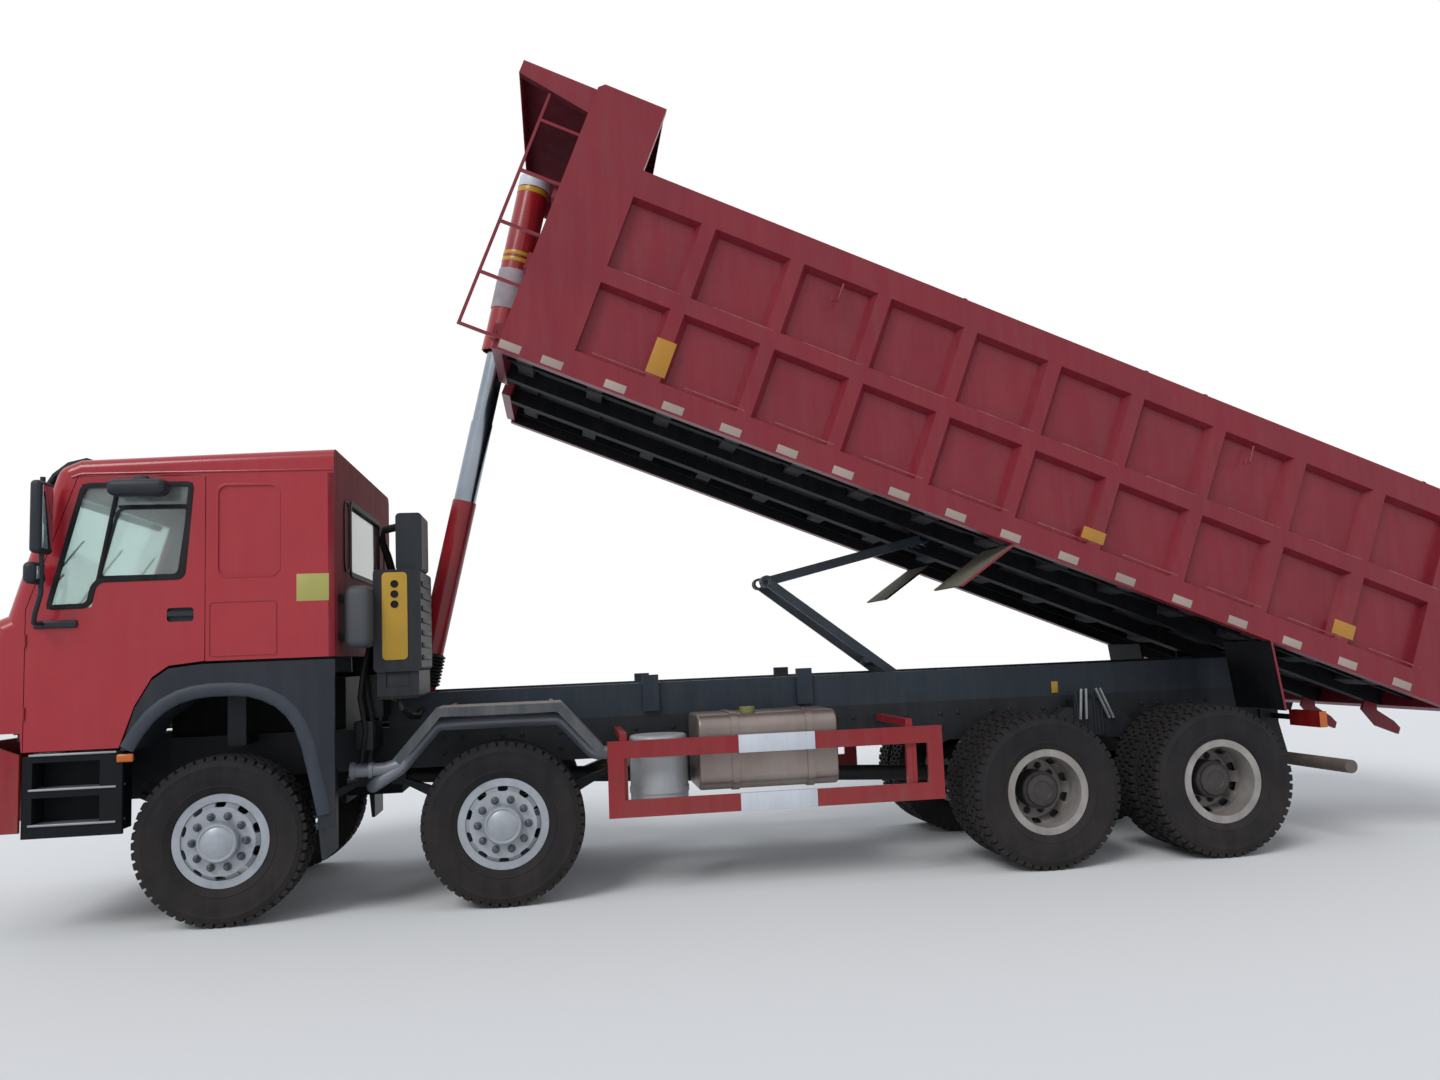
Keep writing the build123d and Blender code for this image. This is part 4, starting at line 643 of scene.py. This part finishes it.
def tread_row(number, middle, length, width, reach, count):
    """One ring of tread blocks: a block with its top drawn in and its corners eased, spun round the wheel."""
    fresh()
    bpy.ops.mesh.primitive_cube_add(size=1, location=(TYRE_R - reach / 2 - BLOCK_SINK, 0, middle),
                                    scale=(reach, length, width))
    block = bpy.context.object
    bpy.ops.object.transform_apply(location=True, rotation=True, scale=True)
    pick(block, lambda c, n: n.x > 0.9)
    bpy.ops.transform.resize(value=(1, 0.86, 0.9))
    if abs(middle) > 0.1:
        # A shoulder block falls away on its outer side.
        pick(block, lambda c, n: n.z * middle > 0.05)
        bpy.ops.transform.resize(value=(1, 0.94, 1))
        bpy.ops.transform.translate(value=(-0.005, 0, 0))
    bpy.ops.mesh.select_all(action="SELECT")
    bpy.ops.mesh.bevel(offset=0.0025, segments=1, affect="EDGES")
    bpy.ops.mesh.select_all(action="SELECT")
    if number % 2:
        bpy.ops.transform.rotate(value=pi / count, orient_axis="Z", center_override=(0, 0, 0))
    ringed(count)
    return block


pattern_tyre = gather("pattern_tyre", [turned("pattern_tyre", CARCASS, (0, 0, 0), steps=72),
                                       *(tread_row(i, *row) for i, row in enumerate(TREAD_ROWS))])
for axle, axle_x in enumerate(AXLES, start=1):
    for side, way in SIDES:
        copies = []
        for y in (STEERED_Y,) if axle <= 2 else DUAL_YS:
            copy = again(pattern_tyre, (0, 0, 0))
            # Each axle's wheels have stopped with their tread in another place.
            copy.rotation_euler = (radians(90), radians(7.0 * axle), 0)
            copy.location = at(axle_x, way * y, WHEEL_Z)
            copies.append(copy)
        wheel = fit(gather(f"treaded_tyre_{axle}_{side}", copies), f"wheel_{axle}_{side}", tyre_rubber)
        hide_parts(f"tyre_{axle}_{side}")
bpy.data.objects.remove(pattern_tyre)

# Wheel nuts on their washers, and the hub caps
NUT_CIRCLE = 0.1675
NUT_H = 0.03
WASHER = [(0, 0), (0.027, 0), (0.027, 0.004), (0.02, 0.007), (0, 0.007)]
FRONT_CAP = [(0, 0.18), (0.124, 0.18), (0.13, 0.186), (0.128, 0.2), (0.118, 0.211), (0.11, 0.212), (0.104, 0.206),
             (0.098, 0.206), (0.09, 0.212), (0.0, 0.216)]
REAR_CAP = [(0, 0.155), (0.136, 0.155), (0.136, 0.166), (0.118, 0.176), (0.112, 0.19), (0.07, 0.196),
            (0.064, 0.19), (0.0, 0.192)]
# Steered and driven wheels: middle, nuts' height, nuts' finish, cap's section, its steps and finish, slot
STEERED = (STEERED_Y, 0.145, nut_steel, FRONT_CAP, 40, wheel_silver, "rim_silver")
DRIVEN = (DRIVEN_HUB_Y, 0.014, hub_iron, REAR_CAP, 12, hub_iron, "rim_dark")


def nut_ring(name, height):
    """Ten hexagon nuts with washers and stud ends, spun round the hub."""
    fresh()
    bpy.ops.mesh.primitive_cylinder_add(vertices=6, radius=0.0185, depth=NUT_H,
                                        location=(NUT_CIRCLE, 0, height + NUT_H / 2))
    nut = bpy.context.object
    bpy.ops.object.transform_apply(location=True, rotation=True, scale=True)
    pick(nut, lambda c, n: n.z > 0.9)
    bpy.ops.mesh.inset(thickness=0.004, depth=0.003)
    bpy.ops.mesh.inset(thickness=0.003)
    bpy.ops.mesh.extrude_region_move(TRANSFORM_OT_translate={"value": (0, 0, 0.012)})
    done()
    ring = gather(name, [nut, turned("washer", WASHER, (NUT_CIRCLE, 0, height), steps=14)])
    only(ring)
    edit_all()
    ringed(10)
    return ring


for axle, axle_x in enumerate(AXLES, start=1):
    for side, way in SIDES:
        middle_y, nut_height, nut_finish, section, steps, cap_finish, slot = STEERED if axle <= 2 else DRIVEN
        turn = (radians(-90 * way), 0, 0)
        centre = at(axle_x, way * middle_y, WHEEL_Z)
        body = f"wheel_{axle}_{side}"
        nuts = nut_ring(f"wheel_nuts_{axle}_{side}", nut_height)
        nuts.rotation_euler, nuts.location = turn, centre
        fit(nuts, body, nut_finish)
        fit(turned(f"hub_cap_{axle}_{side}", section, centre, turn, steps=steps), body, cap_finish)

# The body's trim, with places along it and up it
REFLECTORS = (-0.02, 0.286, 0.75, 1.18, 1.614, 2.043, 2.471, 2.906, 3.35, 3.785, 4.25, 4.71, 5.175, 5.635, 6.09, 6.56,
              7.025)
# Blank stickers: first and last place along the body, lowest and highest up it
STICKERS = ((0.985, 1.13, 0.225, 0.49), (4.37, 4.55, 0.225, 0.315), (6.45, 6.63, 0.225, 0.335))
# A sheet hook's bends: along from its top, out from the side, up the body
HOOK = ((0, 0.002, 1.36), (0, 0.012, 1.28), (-0.005, 0.02, 1.22), (-0.045, 0.035, 1.19), (-0.06, 0.035, 1.225))
# Dust lies on two ledges in each gap between the posts
GAPS = tuple(0.5975 + 0.686 * i for i in range(10))
GAP_L = 0.455
LEDGES = (0.2165, 0.843)
MEMBERS = tuple(0.075 + 0.543 * i for i in range(14))
SKIRT_Y = BED_HALF_W - 0.092

for side, way in SIDES:
    first = REFLECTORS[0]
    pattern = bed_slab("reflector", first, first + 0.155, way * (BED_HALF_W - 0.003), way * (BED_HALF_W + 0.0035),
                       0.015, 0.075)
    strips = [again(pattern, on_bed(u, 0, 0) - on_bed(first, 0, 0)) for u in REFLECTORS[1:]]
    fit(gather("body_reflectors_" + side, [pattern, *strips]), "bed", reflector)
    labels = [bed_slab("label", u0, u1, way * (BED_HALF_W - 0.002), way * (BED_HALF_W + 0.002), v0, v1, edge=0.001)
              for u0, u1, v0, v1 in STICKERS]
    fit(gather("body_labels_" + side, labels), "bed", yellow_vinyl)
    hooks = [bent("sheet_hook", [on_bed(u + along, way * (BED_HALF_W + out), v) for along, out, v in HOOK], 0.009)
             for u in (2.11, 5.46)]
    hooks += [bed_slab("rail_tab", u, u + 0.03, way * (BED_HALF_W - 0.06), way * (BED_HALF_W - 0.05), 1.595, 1.63)
              for u in (3.0, 4.5, 5.0, 6.9)]
    fit(gather("sheet_hooks_" + side, hooks), "bed", body_enamel)
    # A black sheet along the inside of each skirt, in the underbody black that carries painted shade
    liner = bed_slab("skirt_liner_" + side, 0.0, 7.93, way * SKIRT_Y, way * (SKIRT_Y + 0.0065), 0.003, 0.178,
                     edge=0.001)
    fit(liner, "bed", under_black_and_shade)
    ledges = [bed_slab("ledge", u, u + GAP_L, way * (BED_HALF_W - 0.004), way * (BED_HALF_W + 0.0012), v - 0.006,
                       v + 0.001, edge=0.001) for u in GAPS for v in LEDGES]
    fit(gather("ledge_dust_" + side, ledges), "bed", ledge_dust)

members = [bed_slab("member", u, u + 0.12, y0, y1, 0.08, 0.131)
           for u in MEMBERS for y0, y1 in ((-1.06, -0.44), (0.44, 1.02))]
fit(gather("floor_members", members), "bed", member_dust)

# The hoist's bands: first and last place up from the foot pin, how proud of the cover tube, finish
BANDS = (
    (4.232, 4.325, 0.004, guard_white),
    (4.180, 4.222, 0.003, plate_yellow),
    (3.640, 3.672, 0.003, plate_yellow),
    (3.585, 3.617, 0.003, plate_yellow),
    (3.190, 3.520, 0.006, wrap_tape),
)
COLLAR = [(0.122, 2.96), (0.1275, 2.955), (0.1295, 2.87), (0.1295, 2.842), (0.122, 2.842), (0.122, 2.96)]
FOLDS = [fold for z in (0.17 + 0.026 * i for i in range(9))
         for fold in ((0.112, z), (0.118, z + 0.008), (0.112, z + 0.016), (0.1, z + 0.021))]
FOOT = [(0.097, 0.16), *FOLDS, (0.093, 0.41), (0.093, 0.16), (0.097, 0.16)]


def on_hoist(name, section, body, material, steps=48):
    """A piece turned about the hoist's axis, its section measured up from the foot pin."""
    ring = turned(name, section, at(HOIST_FOOT[0], 0, HOIST_FOOT[1]), (0, HOIST_LEAN, 0), steps)
    fit(ring, body, material)


for i, (start, end, proud, material) in enumerate(BANDS, start=1):
    inside, r = COVER_R - 0.004, COVER_R + proud
    on_hoist(f"hoist_band_{i}", [(inside, start), (r - 0.001, start), (r, start + 0.004), (r, end - 0.004),
                                 (r - 0.001, end), (inside, end), (inside, start)], "hoist_cover", material)
on_hoist("hoist_collar", COLLAR, "hoist_cover", hoist_enamel)
on_hoist("hoist_foot_bellows", FOOT, "hoist_base", rubber, steps=36)

# The white stretches of the side guards' planks, and a strut
PLANKS = ((0.545, 0.662), (0.94, 1.057))
for side, way in SIDES:
    sleeves = [slab("white_stretch", at(3.676, way * 1.185, (z0 + z1) / 2), (0.54, 0.036, z1 - z0 + 0.006), edge=0.004)
               for z0, z1 in PLANKS]
    fit(gather("guard_white_" + side, sleeves), "root", guard_white)
    strut = slab("guard_strut_" + side, at(4.665, way * 1.165, 0.8), (0.03, 0.02, 0.5), edge=0.004)
    fit(strut, "root", guard_enamel)

# The cab's sides. Outlines run along the lorry and up.
WINDOW = ((-1.040, 2.080), (-0.770, 2.085), (-0.735, 2.245), (-0.209, 2.250), (-0.155, 2.885), (-0.835, 2.885))
WINDOW_MIDDLE = (-0.545, 2.5)
# The window's seal lies a little outside its outline
SEAL_SCALE = 1.02
SEAL = [(WINDOW_MIDDLE[0] + (x - WINDOW_MIDDLE[0]) * SEAL_SCALE, WINDOW_MIDDLE[1] + (z - WINDOW_MIDDLE[1]) * SEAL_SCALE)
        for x, z in WINDOW]
MAIN_PANE = ((-0.742, 2.262), (-0.232, 2.262), (-0.170, 2.735), (-0.622, 2.735))
# Mirrors: first and last place along the lorry, out from its middle and up, and edge radius
MIRRORS = (
    ((-1.045, -0.975), (1.28, 1.48), (2.42, 2.88), 0.028),
    ((-1.09, -1.01), (1.28, 1.46), (2.23, 2.37), 0.036),
)
MIRROR_RIM = 0.06
# The flare of the arch over the front wheel, from the door's foot over and down to the flap
FLARE = ((-0.512, 1.150), (-0.452, 1.252), (-0.385, 1.338), (-0.310, 1.402), (-0.225, 1.447), (-0.140, 1.470),
         (-0.04, 1.481), (0.08, 1.480), (0.190, 1.470), (0.280, 1.440), (0.360, 1.395), (0.425, 1.332), (0.478, 1.250),
         (0.520, 1.130), (0.555, 0.980), (0.590, 0.820), (0.618, 0.680))

for side, way in SIDES:
    door, skin, bar_y = "door_" + side, way * CAB_HALF_W, way * (CAB_HALF_W - 0.01)
    seal = wall_ring("window_seal_" + side, SEAL, way * (CAB_HALF_W + 0.0045), 0.032, 0.012, 0.05)
    inner = wall_ring("pane_frame", MAIN_PANE, way * (CAB_HALF_W - 0.006), 0.02, 0.01, 0.05)
    bar = pipe("divider", [(-0.62, bar_y, 2.875), (-0.738, bar_y, 2.24)], 0.015, steps=8)
    rail_y = way * (CAB_HALF_W - 0.025)
    rail = pipe("inner_bar", [(-0.62, rail_y, 2.735), (-0.17, rail_y, 2.735)], 0.012, steps=8)
    fit(gather("window_trim_" + side, [seal, inner, bar, rail]), door, rubber)
    housings = []
    for (x0, x1), (y0, y1), (z0, z1), radius in MIRRORS:
        middle = at((x0 + x1) / 2, way * (y0 + y1) / 2, (z0 + z1) / 2)
        housings.append(slab("housing", middle, (x1 - x0, y1 - y0, z1 - z0), edge=radius, segments=5))
    arm = [(-1.06, way * 1.215, 1.99), (-1.06, way * 1.34, 1.985), (-1.045, way * 1.372, 2.03),
           (-1.01, way * 1.372, 2.17), (-1.01, way * 1.372, 2.91)]
    housings.append(pipe("mirror_arm", arm, 0.016))
    housings.append(slab("mirror_foot", at(-0.98, way * 1.228, 1.98), (0.26, 0.03, 0.05), edge=0.012, segments=3))
    if side == "left":
        housings.append(slab("kerb_housing", at(-0.46, -1.31, 2.84), (0.36, 0.15, 0.11), edge=0.045, segments=5))
        housings.append(slab("kerb_foot", at(-0.465, -1.245, 2.9), (0.09, 0.07, 0.05), edge=0.012))
    mirrors = fit(gather("mirror_set_" + side, housings), door, moulded_black)
    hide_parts("mirrors_" + side)
    glasses = [slab("mirror_pane", at(x1 + 0.001, way * (y0 + y1) / 2, (z0 + z1) / 2),
                    (0.004, y1 - y0 - MIRROR_RIM, z1 - z0 - MIRROR_RIM), edge=0.0015)
               for (_, x1), (y0, y1), (z0, z1), _ in MIRRORS]
    fit(gather("mirror_glass_" + side, glasses), door, mirror_glass)
    # The flare's lighter grey carries a painted highlight
    flare = pipe("arch_flare_" + side, [(x, 0, z) for x, z in outward(FLARE, 0.044)], 0.047, steps=20)
    flare.scale, flare.location = (1, 0.5, 1), (0, bar_y, 0)
    fit(flare, "root", flare_plastic_and_highlight)
    label = slab("quarter_label_" + side, at(0.597, skin + way * 0.0005, 2.17), (0.206, 0.003, 0.18), edge=0.001)
    fit(label, "cab", pale_vinyl)
    lamp = slab("marker_lamp_" + side, at(-0.558, way * (CAB_HALF_W - 0.012), 1.115), (0.1, 0.03, 0.052), edge=0.01,
                segments=3)
    fit(lamp, "root", amber_lens)
    treads = [slab("tread", at(-0.87, way * 1.13, z), (0.52, 0.17, 0.014), edge=0.004) for z in (1.157, 0.72, 0.94)]
    fit(gather("step_treads_" + side, treads), "root", tread_alloy)

# The rear wall's window seals, and a pressed panel and a gutter on each side
rear_seals = [facing_back("rear_seal", -0.665, 0.665, 2.275, 2.825, 0.035)]
rear_seals += [facing_back("rear_groove", way * 0.79 - 0.1, way * 0.79 + 0.1, 2.3, 2.8, 0.012) for _, way in SIDES]
fit(gather("rear_window_seals", rear_seals), "cab", rubber)
PANEL = ((-0.014, 2.246), (0.394, 2.246), (0.394, 2.874), (-0.014, 2.874))
for side, way in SIDES:
    gutter_y = way * (CAB_HALF_W + 0.0015)
    swage = wall_ring("panel_swage_" + side, PANEL, way * (CAB_HALF_W + 0.0035), 0.014, 0.008, 0.07)
    gutter = pipe("gutter", [(-0.9, gutter_y, 2.93), (-0.84, gutter_y, 2.952), (0.725, gutter_y, 2.958)], 0.008,
                  steps=8)
    fit(gather("cab_pressings_" + side, [swage, gutter]), "cab", cab_enamel)

wipers = []
for y in (-0.95, -0.25, 0.45):
    arm = [(-1.315, y, 2.09), (-1.31, y + 0.2, 2.14), (-1.225, y + 0.42, 2.36)]
    wipers.append(pipe("wiper_arm", arm, 0.008, steps=8))
    wipers.append(pipe("wiper_blade", [(-1.3, y + 0.1, 2.13), (-1.13, y + 0.5, 2.6)], 0.007, steps=8))
fit(gather("wipers", wipers), "cab", rubber)

# Behind the cab: expansion tank, gauge plate with its gauges, the oil tank's ribs, valves, hoses and intake bellows
reservoir = slab("expansion_tank", at(0.86, -1.0, 1.97), (0.18, 0.3, 0.42), edge=0.06, segments=5)
fit(reservoir, "cab", cab_trim)
PLATE = ((1.005, 1.67), (1.175, 1.67), (1.175, 2.27), (1.005, 2.27))
fit(sheet("gauge_plate", PLATE, -1.008, 0.009, corner=0.03, edge=0.002), "root", plate_yellow)
GAUGE = [(0, 0), (0.026, 0), (0.026, 0.006), (0.021, 0.01), (0.019, 0.006), (0, 0.006)]
gauges = [turned("gauge", GAUGE, at(1.09, -1.006, z), (radians(90), 0, 0), steps=28) for z in (2.19, 2.12, 2.05)]
fit(gather("tank_gauges", gauges), "root", rubber)

tank_dress = [slab("tank_rib", at(1.267, -0.7, 1.68 + 0.085 * i), (0.014, 0.52, 0.036), edge=0.005) for i in range(7)]
tank_dress.append(slab("tank_seat", at(1.1, -0.72, 1.5), (0.28, 0.5, 0.2), edge=0.015))
tank_dress.append(slab("valve_block", at(0.9, -0.62, 1.42), (0.16, 0.34, 0.3), edge=0.02))
tank_dress.append(slab("relay_box", at(0.86, -0.7, 1.16), (0.13, 0.4, 0.2), edge=0.015))
fit(gather("tank_ribs_and_seat", tank_dress), "root", chassis_paint)
# Cab hoses: place across the lorry, how far back of the cab
CAB_HOSES = ((-0.94, 0.05), (-0.86, 0.09), (-0.78, 0.03), (-0.6, 0.07))
hoses = [pipe("hose", [(0.8 + reach, y, 0.98), (0.83 + reach, y, 1.2), (0.79 + reach, y + 0.02, 1.42),
                       (0.86, y + 0.04, 1.6), (0.9, y + 0.07, 1.78)], 0.017 + 0.003 * (i % 2), steps=10)
         for i, (y, reach) in enumerate(CAB_HOSES)]
hoses.append(pipe("delivery_hose", [(1.1, -0.9, 1.42), (1.12, -0.93, 1.34), (1.17, -0.86, 1.28), (1.2, -0.7, 1.27),
                                    (1.2, -0.5, 1.3)], 0.024))
hoses.append(pipe("filter_hose", [(1.02, -0.6, 2.3), (0.99, -0.62, 2.42), (0.96, -0.66, 2.52), (0.98, -0.7, 2.6),
                                  (1.08, -0.7, 2.62)], 0.028))
fit(gather("hoses_behind_cab", hoses), "root", rubber)
drain = pipe("brass_drain", [(1.0, -0.93, 1.6), (1.0, -0.93, 1.46), (1.03, -0.9, 1.42), (1.08, -0.84, 1.4)], 0.02)
fit(drain, "root", brass)
brackets = [slab("bracket", at(CAB_REAR + 0.03, y, z), (0.07, 0.04, 0.05), edge=0.006)
            for y in (-1.08, -0.92) for z in (1.84, 2.1)]
fit(gather("expansion_tank_brackets", brackets), "cab", rubber)
RIBS = [rib for z in (0.03 * i for i in range(7)) for rib in ((0.05, z), (0.058, z + 0.008), (0.05, z + 0.016))]
elbow = turned("intake_bellows", [(0.0, 0.0), *RIBS, (0.0, 0.2)], at(1.14, -0.74, 2.28), (radians(8), 0, 0), steps=24)
fit(elbow, "root", guard_sheet)

# The exhaust's level run behind the front wheel, with its clamps, and the clamp rods of the bogie's springs
EXHAUST_Y, EXHAUST_Z = -0.85, 0.925
CLAMP = [(0.044, 0), (0.058, 0), (0.058, 0.03), (0.044, 0.03), (0.044, 0)]
clamps = [turned("clamp", CLAMP, at(x, EXHAUST_Y, EXHAUST_Z), (0, radians(90), 0), steps=32) for x in (0.765, 0.885)]
level_run = pipe("level_run", [(0.76, EXHAUST_Y, EXHAUST_Z), (1.0, EXHAUST_Y, EXHAUST_Z),
                               (1.1, EXHAUST_Y, EXHAUST_Z + 0.03)], 0.047, steps=24)
fit(gather("exhaust_level_run", [level_run, *clamps]), "root", pipe_steel)
# Clamp rods: upper and lower end along the lorry
RODS = ((6.222, 6.2), (6.262, 6.25), (6.34, 6.44), (6.375, 6.475))
for side, way in SIDES:
    rods = [pipe("bolt", [(x0, way * 0.6, 1.235), (x1, way * 0.6, 1.0)], 0.012, steps=10) for x0, x1 in RODS]
    fit(gather("bogie_clamp_rods_" + side, rods), "root", bright_steel)

# Two rows of bolts along each rail, with gaps, and a small blank plate
BOLT = [(0, 0), (0.017, 0), (0.017, 0.009), (0.01, 0.015), (0, 0.015)]
FIRST_BOLT = (1.2, -0.43, 1.05)
BOLT_ROWS = (0.98, 1.09)
bolts = [turned("bolt", BOLT, at(*FIRST_BOLT), (radians(90), 0, 0), steps=6)]
for i in range(46):
    for z in BOLT_ROWS:
        if (i * 7 + int(z * 100)) % 3:
            bolts.append(again(bolts[0], (1.35 + 0.14 * i - FIRST_BOLT[0], 0, z - FIRST_BOLT[2])))
rail_bolts = fit(gather("rail_bolts_left", bolts), "root", chassis_paint)
fit(mirrored(rail_bolts, "rail_bolts_right"), "root", chassis_paint)
rail_plate = slab("rail_plate_yellow", at(6.08, -0.436, 1.25), (0.055, 0.006, 0.09), edge=0.002)
fit(rail_plate, "root", plate_yellow)

# Stage: floor, light and camera
fresh()
bpy.ops.mesh.primitive_plane_add(size=120, location=(0, 0, 0))
floor = bpy.context.object
floor.name = "studio_floor"
floor_material, _, shader, _ = blank("studio_floor_pale")
shader.inputs["Base Color"].default_value = (0.82, 0.82, 0.82, 1)
shader.inputs["Roughness"].default_value = 0.9
floor.data.materials.append(floor_material)

# The sky lights the lorry softly, and is white where the camera, a reflection or the glass shows it
world = bpy.data.worlds.new("studio_sky")
bpy.context.scene.world = world
world.use_nodes = True
tree = world.node_tree
tree.nodes.clear()
rays = add(tree, "ShaderNodeLightPath").outputs
direct = sums(tree, "MAXIMUM", rays["Is Camera Ray"], rays["Is Glossy Ray"])
seen = sums(tree, "MAXIMUM", direct, rays["Is Transmission Ray"])
sky = add(tree, "ShaderNodeBackground", {"Color": colour("#dfe6ee"), "Strength": 0.75})
white = add(tree, "ShaderNodeBackground", {"Color": (1, 1, 1, 1), "Strength": 1.0})
blend = add(tree, "ShaderNodeMixShader", {0: seen, 1: sky.outputs[0], 2: white.outputs[0]})
add(tree, "ShaderNodeOutputWorld", {"Surface": blend.outputs[0]})

bpy.ops.object.light_add(type="SUN", rotation=(radians(48), radians(-12), radians(-28)))
sun = bpy.context.object
sun.name = "soft_sun"
sun.data.energy = 1.4
sun.data.angle = radians(25)

# The photo's camera: place, turn about the upright axis, tilt up, roll, and focal length for a 36 mm sensor
CAMERA = (2.2066, -8.8808, 1.6359)
YAW, PITCH, ROLL = 0.1457, 0.1000, -0.0405
SENSOR_MM, LENS_MM = 36, 27.82
forward = Vector((sin(YAW) * cos(PITCH), cos(YAW) * cos(PITCH), sin(PITCH)))
level = Vector((cos(YAW), -sin(YAW), 0))
upright = level.cross(forward)
right = level * cos(ROLL) + upright * sin(ROLL)
above = -level * sin(ROLL) + upright * cos(ROLL)
bpy.ops.object.camera_add(location=at(*CAMERA))
camera = bpy.context.object
camera.rotation_euler = Matrix((right, above, -forward)).transposed().to_euler()
camera.data.sensor_width = SENSOR_MM
camera.data.lens = LENS_MM
camera.data.clip_end = 200
scene = bpy.context.scene
scene.camera = camera
scene.view_settings.view_transform = "Standard"
